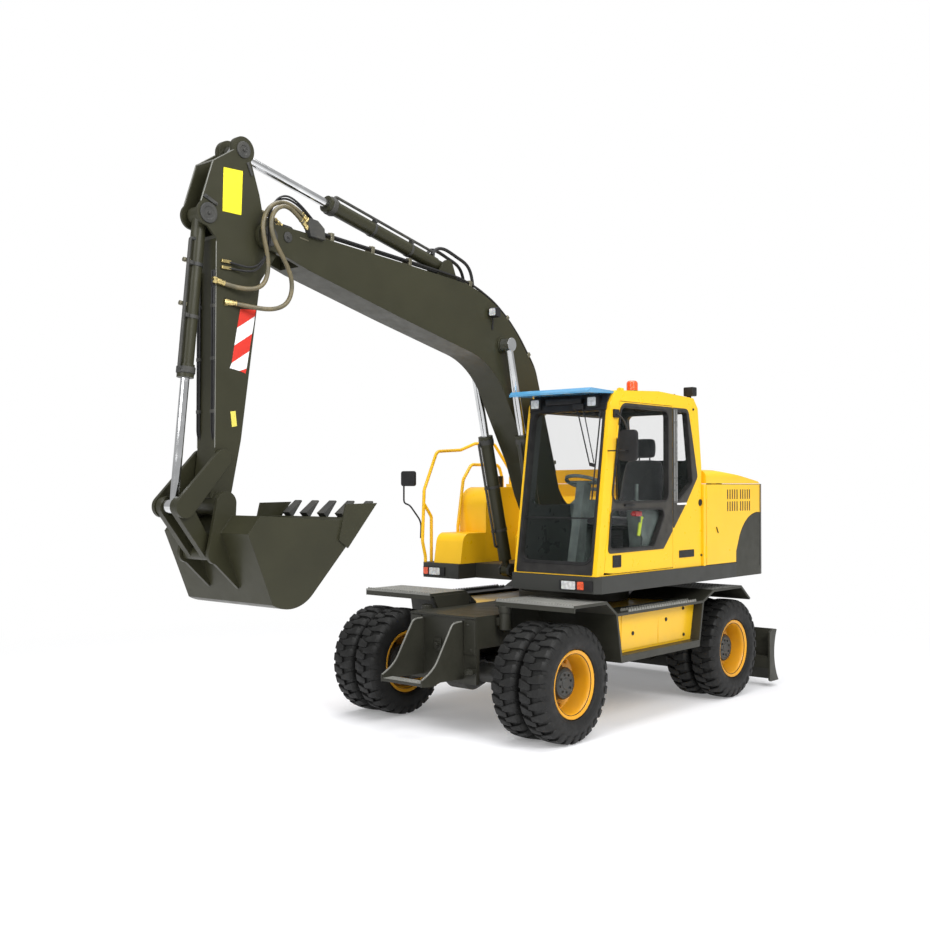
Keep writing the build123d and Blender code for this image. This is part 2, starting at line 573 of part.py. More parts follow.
with BuildPart() as upper_frame:
    with BuildSketch(Plane.XY.offset(DECK_BOTTOM)) as deck:
        with BuildLine():
            Polyline((PATCH_X, HALF_WIDTH), (CAB_FRONT_X - 50, HALF_WIDTH),
                     (CAB_FRONT_X, HALF_WIDTH - 50), (CAB_FRONT_X, SLOT_LEFT_Y),
                     (SLOT_FRONT_X, SLOT_LEFT_Y), (SLOT_FRONT_X, SLOT_RIGHT_Y),
                     (RIGHT_DECK_X, SLOT_RIGHT_Y), (RIGHT_DECK_X, 50 - HALF_WIDTH),
                     (RIGHT_DECK_X - 50, -HALF_WIDTH), (PATCH_X, -HALF_WIDTH), close=True)
        make_face()
    extrude(deck.sketch, amount=DECK_TOP - DECK_BOTTOM)
    foot_x, foot_z = BOOM_FOOT
    cyl_x, cyl_z = BOOM_CYL_FOOT
    for side in (1, -1):
        # boom bracket, with the inner lug of the boom cylinder
        low, high = sorted((side * BRACKET_IN, side * BRACKET_OUT))
        pin(BOOM_FOOT, FOOT_BOSS, low, high)
        plate([(-150, DECK_TOP - 20), (foot_x - 118, foot_z + 42), (foot_x + 112, foot_z + 55),
               (640, DECK_TOP + 60), (cyl_x - 30, cyl_z + 64), (cyl_x + 20, cyl_z + 66),
               (cyl_x + 66, cyl_z + 20), (cyl_x + 60, cyl_z - 35),
               (SLOT_FRONT_X - 30, DECK_BOTTOM + 10)], low, high)
        # its outer lug
        low, high = sorted((side * CYL_LUG_IN, side * CYL_LUG_OUT))
        plate([(SLOT_FRONT_X - 60, DECK_BOTTOM + 10), (SLOT_FRONT_X - 60, DECK_TOP + 10),
               (cyl_x - 20, cyl_z + 66), (cyl_x + 20, cyl_z + 66), (cyl_x + 66, cyl_z + 20),
               (cyl_x + 60, cyl_z - 35)], low, high)
        low, high = sorted((side * BRACKET_IN, side * CYL_LUG_OUT))
        pin(BOOM_CYL_FOOT, CYL_PIN_RADIUS, low, high)
    pin(BOOM_FOOT, BOOM_PIN_RADIUS, -BRACKET_OUT, BRACKET_OUT)
save(upper_frame, "upper_frame")

# The counterweight's cheek rises from the deck and curves back under the hood.
PATCH_TURN = (-1190, 1650)
PATCH_MID = (-1370, 1830)
PATCH_END = (HOUSING_REAR_X, 1885)
CHEEK_Y = 990
HOOD_AXIS = (HOUSING_REAR_X - 2, HOOD_SEAM_Z + 7)
HOOD_HINGE_RADIUS = 10
HOOD_HINGE_LENGTH = 60
HOOD_HINGES = (-730, 670)     # Y where each hinge's middle knuckle begins

with BuildPart() as counterweight:
    with BuildSketch(Plane.XY.offset(DECK_BOTTOM)) as tail:
        with BuildLine():
            Line((PATCH_X, -HALF_WIDTH), (HOUSING_REAR_X, -HALF_WIDTH))
            ThreePointArc((HOUSING_REAR_X, -HALF_WIDTH), (-1910, -1100), (-2068, -820))
            ThreePointArc((-2068, -820), (-TAIL_RADIUS, 0), (-2068, 820))
            ThreePointArc((-2068, 820), (-1910, 1100), (HOUSING_REAR_X, HALF_WIDTH))
            Polyline((HOUSING_REAR_X, HALF_WIDTH), (PATCH_X, HALF_WIDTH), (PATCH_X, -HALF_WIDTH))
        make_face()
    extrude(tail.sketch, amount=HOOD_SEAM_Z - DECK_BOTTOM)
    with BuildSketch(Plane.XZ) as weight_side:
        with BuildLine():
            Polyline((PATCH_X, DECK_BOTTOM), (PATCH_X, 1500), PATCH_TURN)
            ThreePointArc(PATCH_TURN, PATCH_MID, PATCH_END)
            Polyline(PATCH_END, (HOUSING_REAR_X, HOOD_SEAM_Z), (-2040, HOOD_SEAM_Z),
                     (-2170, 2120), (-TAIL_RADIUS, 1980), (-TAIL_RADIUS, DECK_BOTTOM + 95),
                     (-TAIL_RADIUS + 190, DECK_BOTTOM), (PATCH_X, DECK_BOTTOM))
        make_face()
    across(weight_side.sketch, -HALF_WIDTH, HALF_WIDTH, mode=Mode.INTERSECT)
    # engine bay between the cheeks
    block((PATCH_X, HOUSING_REAR_X), (-CHEEK_Y, CHEEK_Y), (DECK_TOP, HOOD_SEAM_Z),
          mode=Mode.SUBTRACT)
    for y in HOOD_HINGES:
        pin(HOOD_AXIS, HOOD_HINGE_RADIUS, y - HOOD_HINGE_LENGTH, y + 2 * HOOD_HINGE_LENGTH)
        pin(HOOD_AXIS, HOOD_HINGE_RADIUS + 0.5, y, y + HOOD_HINGE_LENGTH, mode=Mode.SUBTRACT)
save(counterweight, "counterweight")

with BuildPart() as engine_block:
    block((-1600, -700), (-480, 480), (DECK_TOP, 1960))
save(engine_block, "engine_block")

BULKHEAD_REAR_X = SIDE_DOOR_FRONT_X + SIDE_DOOR_GAP
HINGE_RADIUS = 9
HINGE_NOTCH = HINGE_RADIUS + 0.5
HINGE_LENGTH = 40
SIDE_HINGE_Y = HALF_WIDTH + 2
SIDE_HINGES = (1500, 2080)    # Z where each hinge's middle knuckle begins
COVER_Y = BRACKET_OUT + 20
with BuildPart() as body_panels:
    # bulkhead behind the cab, and the covers on both sides of the boom foot
    block((HOUSING_FRONT_X, BULKHEAD_REAR_X), (-HALF_WIDTH, HALF_WIDTH), (DECK_TOP, HOOD_SEAM_Z))
    for low, high in ((SLOT_RIGHT_Y, -COVER_Y), (COVER_Y, SLOT_LEFT_Y)):
        plate([(HOUSING_FRONT_X, DECK_TOP), (60, DECK_TOP), (60, 1620), (-120, 1930),
               (HOUSING_FRONT_X, 2060)], low, high)
    plate([(HOUSING_FRONT_X, DECK_TOP), (-200, DECK_TOP), (-200, 1620), (-300, 1930),
           (HOUSING_FRONT_X, 2060)], -COVER_Y, COVER_Y)
    for side in (1, -1):
        for z in SIDE_HINGES:
            axis = (SIDE_DOOR_FRONT_X, side * SIDE_HINGE_Y)
            post(axis, HINGE_RADIUS, z - HINGE_LENGTH, z + 2 * HINGE_LENGTH)
            post(axis, HINGE_NOTCH, z, z + HINGE_LENGTH, mode=Mode.SUBTRACT)
save(body_panels, "body_panels")

SLOTS = (                     # X of the first slot, bottom and top of its row
    (-927, 1912, 2012),
    (-1203, 1912, 2012),
    (-927, 2034, 2134),
    (-1203, 2034, 2134),
)
SLOTS_IN_ROW = 5
SLOT_PITCH = 50
SLOT_WIDTH = 24

for name, side in (("left", 1), ("right", -1)):
    with BuildPart() as side_door:
        low, high = sorted((side * (HALF_WIDTH - SIDE_DOOR_THICK), side * HALF_WIDTH))
        with BuildSketch(Plane.XZ) as outline:
            with BuildLine():
                Polyline(PATCH_END, (HOUSING_REAR_X, HOOD_SEAM_Z), (SIDE_DOOR_FRONT_X, HOOD_SEAM_Z),
                         (SIDE_DOOR_FRONT_X, DECK_TOP), (PATCH_X, DECK_TOP), (PATCH_X, 1500),
                         PATCH_TURN)
                ThreePointArc(PATCH_TURN, PATCH_MID, PATCH_END)
            make_face()
            offset(amount=-SIDE_DOOR_GAP, kind=Kind.INTERSECTION)
        across(outline.sketch, low, high)
        for first, bottom, top in SLOTS:
            for index in range(SLOTS_IN_ROW):
                x = first - index * SLOT_PITCH
                block((x, x - SLOT_WIDTH), (low, high), (bottom, top), mode=Mode.SUBTRACT)
        for z in SIDE_HINGES:
            axis = (SIDE_DOOR_FRONT_X, side * SIDE_HINGE_Y)
            for fixed in (z - HINGE_LENGTH, z + HINGE_LENGTH):
                post(axis, HINGE_NOTCH, fixed, fixed + HINGE_LENGTH, mode=Mode.SUBTRACT)
            post(axis, HINGE_RADIUS, z, z + HINGE_LENGTH)
    save(side_door, f"side_door_{name}")

HOOD_BOTTOM = HOOD_SEAM_Z + SIDE_DOOR_GAP
HOOD_REAR_X = -1645
with BuildPart() as engine_hood:
    with BuildSketch(Plane.YZ.offset(HOOD_REAR_X)) as crown:
        with BuildLine():
            Polyline((HALF_WIDTH, HOOD_BOTTOM), (HALF_WIDTH, 2255))
            ThreePointArc((HALF_WIDTH, 2255), (1222, 2308), (1160, 2330))
            ThreePointArc((1160, 2330), (0, 2345), (-1160, 2330))
            ThreePointArc((-1160, 2330), (-1222, 2308), (-HALF_WIDTH, 2255))
            Polyline((-HALF_WIDTH, 2255), (-HALF_WIDTH, HOOD_BOTTOM), (HALF_WIDTH, HOOD_BOTTOM))
        make_face()
    extrude(crown.sketch, amount=BULKHEAD_REAR_X - HOOD_REAR_X)
    plate([(BULKHEAD_REAR_X, HOOD_BOTTOM), (BULKHEAD_REAR_X, 2352), (-1160, 2282), (-1600, 2218),
           (HOOD_REAR_X, HOOD_BOTTOM)], -HALF_WIDTH, HALF_WIDTH, mode=Mode.INTERSECT)
    plate([(BULKHEAD_REAR_X - 30, HOOD_BOTTOM), (BULKHEAD_REAR_X - 30, 2300), (-1150, 2242),
           (-1560, HOOD_BOTTOM)], -HALF_WIDTH + 100, HALF_WIDTH - 100, mode=Mode.SUBTRACT)
    for y in HOOD_HINGES:
        pin(HOOD_AXIS, HOOD_HINGE_RADIUS, y, y + HOOD_HINGE_LENGTH)
        block((HOOD_AXIS[0], HOOD_REAR_X + 25), (y, y + HOOD_HINGE_LENGTH),
              (HOOD_BOTTOM, HOOD_BOTTOM + 8))
save(engine_hood, "engine_hood")

# ---- Right-hand side -----------------------------------------------------------------------
TANK_FACE_Y = -1080
TANK_FRONT_X = 540
with BuildPart() as fuel_tank:
    with BuildSketch(Plane.XZ) as tank_side:
        with BuildLine():
            Polyline((HOUSING_FRONT_X, DECK_TOP), (TANK_FRONT_X, DECK_TOP), (TANK_FRONT_X, 1950))
            TangentArc((TANK_FRONT_X, 1950), (TANK_FRONT_X - 190, 2157), tangent=(0, 1))
            Polyline((TANK_FRONT_X - 190, 2157), (HOUSING_FRONT_X, 2157), (HOUSING_FRONT_X, DECK_TOP))
        make_face()
    across(tank_side.sketch, TANK_FACE_Y, SLOT_RIGHT_Y)
save(fuel_tank, "fuel_tank")

with BuildPart() as tank_cap:
    post((130, -900), 58, 2157, 2275)
save(tank_cap, "tank_cap")

with BuildPart() as step_box:
    with BuildSketch(Plane.XZ) as step_side:
        with BuildLine():
            Polyline((TANK_FRONT_X, DECK_TOP), (940, DECK_TOP), (905, 1600))
            TangentArc((905, 1600), (810, 1690), tangent=(-35, 215))
            Polyline((810, 1690), (TANK_FRONT_X, 1690), (TANK_FRONT_X, DECK_TOP))
        make_face()
    across(step_side.sketch, TANK_FACE_Y, SLOT_RIGHT_Y)
save(step_box, "step_box")

RAIL_RADIUS = 17
MIRROR_OUT = 1410


def tube(points, bend, radius=RAIL_RADIUS):
    """A bent tube through these points."""
    with BuildLine() as path:
        FilletPolyline(*points, radius=bend)
    with BuildSketch(Plane(path.line @ 0, z_dir=path.line % 0)) as ring:
        Circle(radius)
    sweep(ring.sketch, path=path.line)


OUTER_RAIL = [(940, DECK_TOP), (940, 1440), (985, 1600), (960, 2128), (765, 2530), (390, 2552), (150, 2628),
              (-180, 2628), (-468, 2330), (-468, HOOD_SEAM_Z)]
OUTER_RAIL_LEG = [(850, DECK_TOP), (850, 1850), (966, 1990)]
INNER_RAIL = [(615, 1690), (615, 1750), (530, 2235), (400, 2395), (-60, 2395), (-120, 2250),
              (-120, 2157)]
with BuildPart() as handrails:
    tube([(x, -1200, z) for x, z in OUTER_RAIL], 75)
    tube([(x, -1200, z) for x, z in OUTER_RAIL_LEG], 60)
    tube([(x, -1040, z) for x, z in INNER_RAIL], 80)
save(handrails, "handrails")

# ---- Cab -----------------------------------------------------------------------------------
CAB_SIDE = [(CAB_REAR_X, DECK_TOP), (CAB_FRONT_X, DECK_TOP), (1160, 2900), (1075, 3020),
            (360, 3055), (-286, 3025), (-370, 2930), (CAB_REAR_X, 2350)]
CAB_HOLLOW = [(CAB_REAR_X + CAB_WALL, DECK_TOP + CAB_WALL),
              (CAB_FRONT_X - CAB_WALL - 5, DECK_TOP + CAB_WALL), (1112, 2875), (1045, 2968),
              (360, 3002), (-262, 2974), (-322, 2915), (CAB_REAR_X + CAB_WALL, 2345)]
DOORWAY = [(1268, 1400), (DOOR_REAR_X, 1400), (DOOR_REAR_X, 2925), (1010, 2925)]
DOOR_SIDE = [(1265.5, 1415), (1120, 1400)] + DOORWAY[1:]
DOOR_AXIS = ((1270.5, 1400), (1012.5, 2925))
DOOR_AXIS_Y = CAB_LEFT_Y + 2
KNUCKLE_RADIUS = 9
KNUCKLE_NOTCH = KNUCKLE_RADIUS + 0.5
KNUCKLE_LENGTH = 40
DOOR_KNUCKLES = (190, 1250)   # where each hinge's middle knuckle begins, along the axis
UPPER_WINDOW = [(1150, 2030), (195, 2030), (195, 2880), (1000, 2880)]
LOWER_WINDOW = [(1195, 1612), (455, 1612), (225, 1960), (1155, 1960)]
QUARTER_WINDOW = [(60, 2885), (-150, 2885), (-255, 2200), (60, 2000)]
RIGHT_WINDOW = [(1010, 2860), (-270, 2860), (-330, 1990), (1145, 1990)]
WINDSHIELD_Y = (385, 1165)
WINDSHIELD_Z = (1500, 2850)
REAR_WINDOW_Y = (430, 1120)
REAR_WINDOW_Z = (2420, 2880)
PANE_SET = (CAB_WALL - GLASS) / 2


def rounded(points, radius):
    """A face in the XZ plane with these corners, rounded."""
    with BuildSketch(Plane.XZ) as sketch:
        with BuildLine():
            Polyline(*points, close=True)
        make_face()
        fillet(sketch.vertices(), radius)
    return sketch.sketch


def facing(x, y, z, radius):
    """A rounded rectangle across the machine at this X, between pairs of Y and Z."""
    with BuildSketch(Plane.YZ.offset(x)) as sketch:
        with Locations(((y[0] + y[1]) / 2, (z[0] + z[1]) / 2)):
            RectangleRounded(y[1] - y[0], z[1] - z[0], radius)
    return sketch.sketch


def roof_front_x(z):
    """X of the cab's slope between windshield and roof."""
    return 1160 - (z - 2900) * 85 / 120


with BuildPart() as cab_shell:
    plate(CAB_SIDE, CAB_RIGHT_Y, CAB_LEFT_Y)
    plate(CAB_HOLLOW, CAB_RIGHT_Y + CAB_WALL, CAB_LEFT_Y - CAB_WALL, mode=Mode.SUBTRACT)
    extrude(facing(900, WINDSHIELD_Y, WINDSHIELD_Z, 90), amount=600, mode=Mode.SUBTRACT)
    extrude(facing(-500, REAR_WINDOW_Y, REAR_WINDOW_Z, 60), amount=300, mode=Mode.SUBTRACT)
    across(rounded(RIGHT_WINDOW, 70), CAB_RIGHT_Y, CAB_RIGHT_Y + CAB_WALL, mode=Mode.SUBTRACT)
    across(rounded(QUARTER_WINDOW, 45), CAB_LEFT_Y - CAB_WALL, CAB_LEFT_Y, mode=Mode.SUBTRACT)
    with BuildSketch(Plane.XZ) as doorway:
        with BuildLine():
            Polyline(*DOORWAY, close=True)
        make_face()
        offset(amount=DOOR_GAP, kind=Kind.INTERSECTION)
    across(doorway.sketch, CAB_LEFT_Y - CAB_WALL, CAB_LEFT_Y, mode=Mode.SUBTRACT)
    for start in DOOR_KNUCKLES:
        middle = start + KNUCKLE_LENGTH
        rod(*DOOR_AXIS, KNUCKLE_RADIUS, DOOR_AXIS_Y, start - KNUCKLE_LENGTH, middle + KNUCKLE_LENGTH)
        rod(*DOOR_AXIS, KNUCKLE_NOTCH, DOOR_AXIS_Y, start, middle, mode=Mode.SUBTRACT)
save(cab_shell, "cab_shell")

with BuildPart() as cab_door:
    plate(DOOR_SIDE, CAB_LEFT_Y - CAB_WALL, CAB_LEFT_Y)
    across(rounded(UPPER_WINDOW, 75), CAB_LEFT_Y - CAB_WALL, CAB_LEFT_Y, mode=Mode.SUBTRACT)
    across(rounded(LOWER_WINDOW, 60), CAB_LEFT_Y - CAB_WALL, CAB_LEFT_Y, mode=Mode.SUBTRACT)
    for start in DOOR_KNUCKLES:
        for fixed in (start - KNUCKLE_LENGTH, start + KNUCKLE_LENGTH):
            rod(*DOOR_AXIS, KNUCKLE_NOTCH, DOOR_AXIS_Y, fixed, fixed + KNUCKLE_LENGTH,
                mode=Mode.SUBTRACT)
        rod(*DOOR_AXIS, KNUCKLE_RADIUS, DOOR_AXIS_Y, start, start + KNUCKLE_LENGTH)
save(cab_door, "cab_door")

with BuildPart() as door_glass:
    for window, radius in ((UPPER_WINDOW, 75), (LOWER_WINDOW, 60)):
        across(rounded(window, radius), CAB_LEFT_Y - CAB_WALL + PANE_SET, CAB_LEFT_Y - PANE_SET)
save(door_glass, "door_glass")

with BuildPart() as windshield:
    extrude(facing(900, WINDSHIELD_Y, WINDSHIELD_Z, 90), amount=600)
    plate([(CAB_FRONT_X - 25, DECK_TOP), (CAB_FRONT_X - 25 - GLASS, DECK_TOP),
           (1135 - GLASS, 2900), (1135, 2900)], 0, HALF_WIDTH, mode=Mode.INTERSECT)
save(windshield, "windshield")

with BuildPart() as rear_window:
    extrude(facing(-500, REAR_WINDOW_Y, REAR_WINDOW_Z, 60), amount=300)
    plate([(-418, 2350), (-418 + GLASS, 2350), (-350 + GLASS, 2930), (-350, 2930)],
          0, HALF_WIDTH, mode=Mode.INTERSECT)
save(rear_window, "rear_window")

with BuildPart() as side_windows:
    across(rounded(RIGHT_WINDOW, 70), CAB_RIGHT_Y + PANE_SET, CAB_RIGHT_Y + CAB_WALL - PANE_SET)
    across(rounded(QUARTER_WINDOW, 45), CAB_LEFT_Y - CAB_WALL + PANE_SET, CAB_LEFT_Y - PANE_SET)
save(side_windows, "side_windows")

with BuildPart() as roof_visor:
    plate([(roof_front_x(2992), 2992), (roof_front_x(3014), 3014), (1440, 3024), (1472, 2996),
           (1472, 2978)], CAB_RIGHT_Y + 15, CAB_LEFT_Y - 15)
save(roof_visor, "roof_visor")

SEAT_Y = (CAB_RIGHT_Y + CAB_LEFT_Y) / 2
CAB_FLOOR = DECK_TOP + CAB_WALL
with BuildPart() as seat:
    block((60, 520), (SEAT_Y - 160, SEAT_Y + 160), (CAB_FLOOR, 1771))
    plate([(40, 1770), (600, 1790), (600, 1880), (560, 1900), (60, 1870), (-50, 2400),
           (-70, 2640), (-160, 2640), (-170, 2400), (-60, 1800)], SEAT_Y - 240, SEAT_Y + 240)
    # the headrest is narrower than the back
    for side in (1, -1):
        block((-200, 0), (SEAT_Y + side * 130, SEAT_Y + side * 241), (2440, 2641),
              mode=Mode.SUBTRACT)
save(seat, "seat")

with BuildPart() as controls:
    plate([(1010, CAB_FLOOR), (1130, CAB_FLOOR), (968, 2220), (866, 2184)], SEAT_Y - 45, SEAT_Y + 45)
    with BuildSketch(Plane((905, SEAT_Y, 2190), x_dir=(0, 1, 0), z_dir=(-0.349, 0, 0.937))) as rim:
        Circle(190)
        Circle(165, mode=Mode.SUBTRACT)
        Rectangle(340, 34)
    extrude(rim.sketch, amount=26)
    for side in (1, -1):
        low, high = sorted((SEAT_Y + side * 250, SEAT_Y + side * 390))
        plate([(-120, CAB_FLOOR), (520, CAB_FLOOR), (600, 2000), (520, 2040), (-120, 2030)],
              low, high)
        post((530, SEAT_Y + side * 320), 16, 2030, 2190)
save(controls, "controls")

with BuildPart() as beacon:
    post((220, 850), 46, 3040, 3092)
    post((220, 850), 54, 3092, 3185)
    fillet(beacon.edges().group_by(Axis.Z)[-1], 30)
    plate(CAB_SIDE, 0, HALF_WIDTH, mode=Mode.SUBTRACT)
save(beacon, "beacon")

with BuildPart() as mirrors:
    tube([(983.58, -1226, 1630), (975.53, -1226, 1800), (1083, -1290, 1975), (1083, -1372, 1985),
          (1083, -1372, 2180)], 18, radius=9)
    block((1070, 1090), (-MIRROR_OUT, 200 - MIRROR_OUT), (2165, 2325))
    tube([(1205, CAB_LEFT_Y, 2480), (1205, 1395, 2480), (1140, 1395, 2480)], 18, radius=9)
    block((1120, 1140), (1300, 1300 + 185), (2385, 2665))
save(mirrors, "mirrors")

# ---- Lamps ---------------------------------------------------------------------------------
with BuildPart() as head_lamps:
    block((CAB_FRONT_X, CAB_FRONT_X + 14), (840, 1190), (1258, 1345))
    block((RIGHT_DECK_X, RIGHT_DECK_X + 14), (-1190, -900), (1258, 1345))
save(head_lamps, "head_lamps")

with BuildPart() as work_lamps:
    for y in (430, 1060):
        block((roof_front_x(2940), 1210), (y - 55, y + 55), (2870, 2970))
    plate(CAB_SIDE, 0, HALF_WIDTH, mode=Mode.SUBTRACT)
save(work_lamps, "work_lamps")

# ---- Boom ----------------------------------------------------------------------------------
ARM_LUG_IN = 60
ARM_LUG_OUT = 85
HEAD_BOSS_Y = 170
BOOM_TIP_BOSS = 105

with BuildPart() as boom:
    with BuildSketch(Plane.XZ) as boom_side:
        with BuildLine():
            Polyline((4112, 4144), (3804, 4130), (2706, 4055), (2206, 4015), (1900, 3990))
            ThreePointArc((1900, 3990), (1450, 3845), (1077, 3555))
            Polyline((1077, 3555), (844, 3288), (330, 1765), (450, 1600), (568, 1680),
                     (793, 2091), (918, 2394), (1281, 2988))
            ThreePointArc((1281, 2988), (1494, 3240), (1790, 3378))
            Polyline((1790, 3378), (2705, 3591), (3702, 3837), (3902, 3900), (4080, 3938),
                     (4112, 4144))
        make_face()
    across(boom_side.sketch, -BOOM_HALF_WIDTH, BOOM_HALF_WIDTH)
    pin(BOOM_FOOT, FOOT_BOSS, -BOOM_HALF_WIDTH, BOOM_HALF_WIDTH)
    pin(BOOM_TIP, BOOM_TIP_BOSS, -BOOM_HALF_WIDTH, BOOM_HALF_WIDTH)
    block((3780, 4300), (-BOOM_FORK, BOOM_FORK), (3700, 4300), mode=Mode.SUBTRACT)
    pin(BOOM_TIP, 45, -BOOM_HALF_WIDTH, BOOM_HALF_WIDTH)
    pin(BOOM_CYL_HEAD, 75, -HEAD_BOSS_Y, HEAD_BOSS_Y)
    # lugs of the arm cylinder
    for side in (1, -1):
        low, high = sorted((side * ARM_LUG_IN, side * ARM_LUG_OUT))
        pin(ARM_CYL_FOOT, 65, low, high)
        plate([(1880, 3960), (1965, 4155), (2075, 4155), (2200, 3990)], low, high)
    pin(ARM_CYL_FOOT, 30, -ARM_LUG_OUT, ARM_LUG_OUT)
    pin(BOOM_FOOT, BOOM_PIN_RADIUS + FIT, -BOOM_HALF_WIDTH, BOOM_HALF_WIDTH, mode=Mode.SUBTRACT)
save(boom, "boom")

with BuildPart() as boom_barrels:
    cylinder_barrel(BOOM_CYL_FOOT, BOOM_CYL_HEAD, 62, 38, 1350, 60, BOOM_CYL_EYE_HALF,
                    CYL_PIN_RADIUS, 112, (BOOM_CYL_Y, -BOOM_CYL_Y))
save(boom_barrels, "boom_barrels")

with BuildPart() as boom_rods:
    cylinder_rod(BOOM_CYL_FOOT, BOOM_CYL_HEAD, 38, 1150, 62, 48, (BOOM_CYL_Y, -BOOM_CYL_Y))
save(boom_rods, "boom_rods")

with BuildPart() as arm_barrel:
    cylinder_barrel(ARM_CYL_FOOT, ARM_CYL_HEAD, 60, 35, 1420, 55, ARM_LUG_IN - SIDE_GAP, 30, 100)
save(arm_barrel, "arm_barrel")

with BuildPart() as arm_rod:
    cylinder_rod(ARM_CYL_FOOT, ARM_CYL_HEAD, 35, 1280, 55, ARM_LUG_IN - SIDE_GAP)
save(arm_rod, "arm_rod")

# ---- Arm -----------------------------------------------------------------------------------
POCKET_HALF = 85
with BuildPart() as arm:
    plate([(4231, 4556), (4300, 4700), (4390, 4640), (4579, 4518), (4690, 4180), (4640, 4050),
           (4548, 3960), (4556, 2433), (4596, 2090), (4424, 2060), (4404, 2145), (4324, 2511),
           (4171, 3559), (4150, 3700), (3990, 3925), (3960, 4080), (4127, 4202), (4160, 4346)],
          -ARM_HALF_WIDTH, ARM_HALF_WIDTH)
    pin(ARM_CYL_HEAD, 100, -ARM_HALF_WIDTH, ARM_HALF_WIDTH)
    pin(BUCKET_CYL_FOOT, 95, -ARM_HALF_WIDTH, ARM_HALF_WIDTH)
    pin(BOOM_TIP, 150, -ARM_HALF_WIDTH, ARM_HALF_WIDTH)
    pin(BUCKET_PIN, 85, -ARM_TIP_HALF, ARM_TIP_HALF)
    # slot for the arm cylinder's rod, and the bucket cylinder's pocket
    block((4000, 4500), (-ARM_LUG_IN, ARM_LUG_IN), (4490, 4800), mode=Mode.SUBTRACT)
    block((4400, 4800), (-POCKET_HALF, POCKET_HALF), (3980, 4800), mode=Mode.SUBTRACT)
    pin(BUCKET_CYL_FOOT, 32, -ARM_HALF_WIDTH, ARM_HALF_WIDTH)
    pin(BOOM_TIP, 45 + FIT, -ARM_HALF_WIDTH, ARM_HALF_WIDTH, mode=Mode.SUBTRACT)
    pin(ROCKER_PIN, 30 + FIT, -ARM_HALF_WIDTH, ARM_HALF_WIDTH, mode=Mode.SUBTRACT)
    pin(BUCKET_PIN, 35 + FIT, -ARM_TIP_HALF, ARM_TIP_HALF, mode=Mode.SUBTRACT)
save(arm, "arm")

with BuildPart() as bucket_barrel:
    cylinder_barrel(BUCKET_CYL_FOOT, LINK_PIN, 52, 32, 1190, 62, 60, 32, 75)
save(bucket_barrel, "bucket_barrel")

LINK_IN = 58
LINK_OUT = 115
with BuildPart() as bucket_rod:
    cylinder_rod(BUCKET_CYL_FOOT, LINK_PIN, 32, 1050, 56, LINK_IN - 8)
save(bucket_rod, "bucket_rod")


def bar(start, end, r_start, r_end, y_low, y_high):
    """A link plate with a boss at each end."""
    way, _ = along(start, end)
    side_x, side_z = -way[2], way[0]
    plate([(start[0] + side_x * r_start, start[1] + side_z * r_start),
           (end[0] + side_x * r_end, end[1] + side_z * r_end),
           (end[0] - side_x * r_end, end[1] - side_z * r_end),
           (start[0] - side_x * r_start, start[1] - side_z * r_start)], y_low, y_high)
    pin(start, r_start, y_low, y_high)
    pin(end, r_end, y_low, y_high)


with BuildPart() as rockers:
    for side in (1, -1):
        low, high = sorted((side * ROCKER_IN, side * ROCKER_OUT))
        bar(ROCKER_PIN, LINK_PIN, 68, LINK_BOSS, low, high)
        low, high = sorted((side * LINK_IN, side * ROCKER_OUT))
        pin(LINK_PIN, 30, low, high)
    pin(ROCKER_PIN, 30, -ROCKER_OUT, ROCKER_OUT)
save(rockers, "rockers")

with BuildPart() as bucket_link:
    for side in (1, -1):
        low, high = sorted((side * LINK_IN, side * LINK_OUT))
        bar(LINK_PIN, BUCKET_LINK_PIN, 72, LINK_FOOT, low, high)
    pin(BUCKET_LINK_PIN, LINK_FOOT, -ARM_TIP_HALF, ARM_TIP_HALF)
    pin(LINK_PIN, 30 + FIT, -LINK_OUT, LINK_OUT, mode=Mode.SUBTRACT)
save(bucket_link, "bucket_link")

# ---- Bucket --------------------------------------------------------------------------------
LIP = (3430, 1930)
HEEL = (3960, 1395)
with BuildPart() as bucket:
    with BuildSketch(Plane.XZ) as bucket_side:
        with BuildLine():
            Line(LIP, HEEL)
            ThreePointArc(HEEL, (4160, 1292), (4345, 1330))
            Polyline((4345, 1330), (4460, 1600), (4565, 1840), (4460, 1965), (3820, 1922),
                     (3655, 1922), LIP)
        make_face()
    across(bucket_side.sketch, -BUCKET_HALF_WIDTH, BUCKET_HALF_WIDTH)
    for side in (1, -1):
        low, high = sorted((side * EAR_IN, side * EAR_OUT))
        pin(BUCKET_PIN, 85, low, high)
        pin(BUCKET_LINK_PIN, 70, low, high)
        plate([(4425, 2050), (4500, 2134), (4594, 2060), (4668, 1705), (4610, 1622), (4400, 1430),
               (4380, 1500), (4420, 1800), (4430, 1960)], low, high)
        low, high = sorted((side * BUCKET_HALF_WIDTH, side * (BUCKET_HALF_WIDTH + 14)))
        plate([(3655, 2038), (3328, 2042), (3634, 1706), (3726, 1770)], low, high)
    # the hollow, open at the mouth
    with BuildSketch(Plane.XZ) as hollow:
        with BuildLine():
            Polyline((3458, 1930), (3972, 1412))
            ThreePointArc((3972, 1412), (4160, 1313), (4332, 1347))
            Polyline((4332, 1347), (4442, 1608), (4541, 1836), (4448, 1945), (4400, 2000),
                     (3458, 2000), (3458, 1930))
        make_face()
    across(hollow.sketch, -BUCKET_HALF_WIDTH + BUCKET_SHEET, BUCKET_HALF_WIDTH - BUCKET_SHEET,
           mode=Mode.SUBTRACT)
    pin(BUCKET_PIN, 35, -EAR_OUT, EAR_OUT)
save(bucket, "bucket")

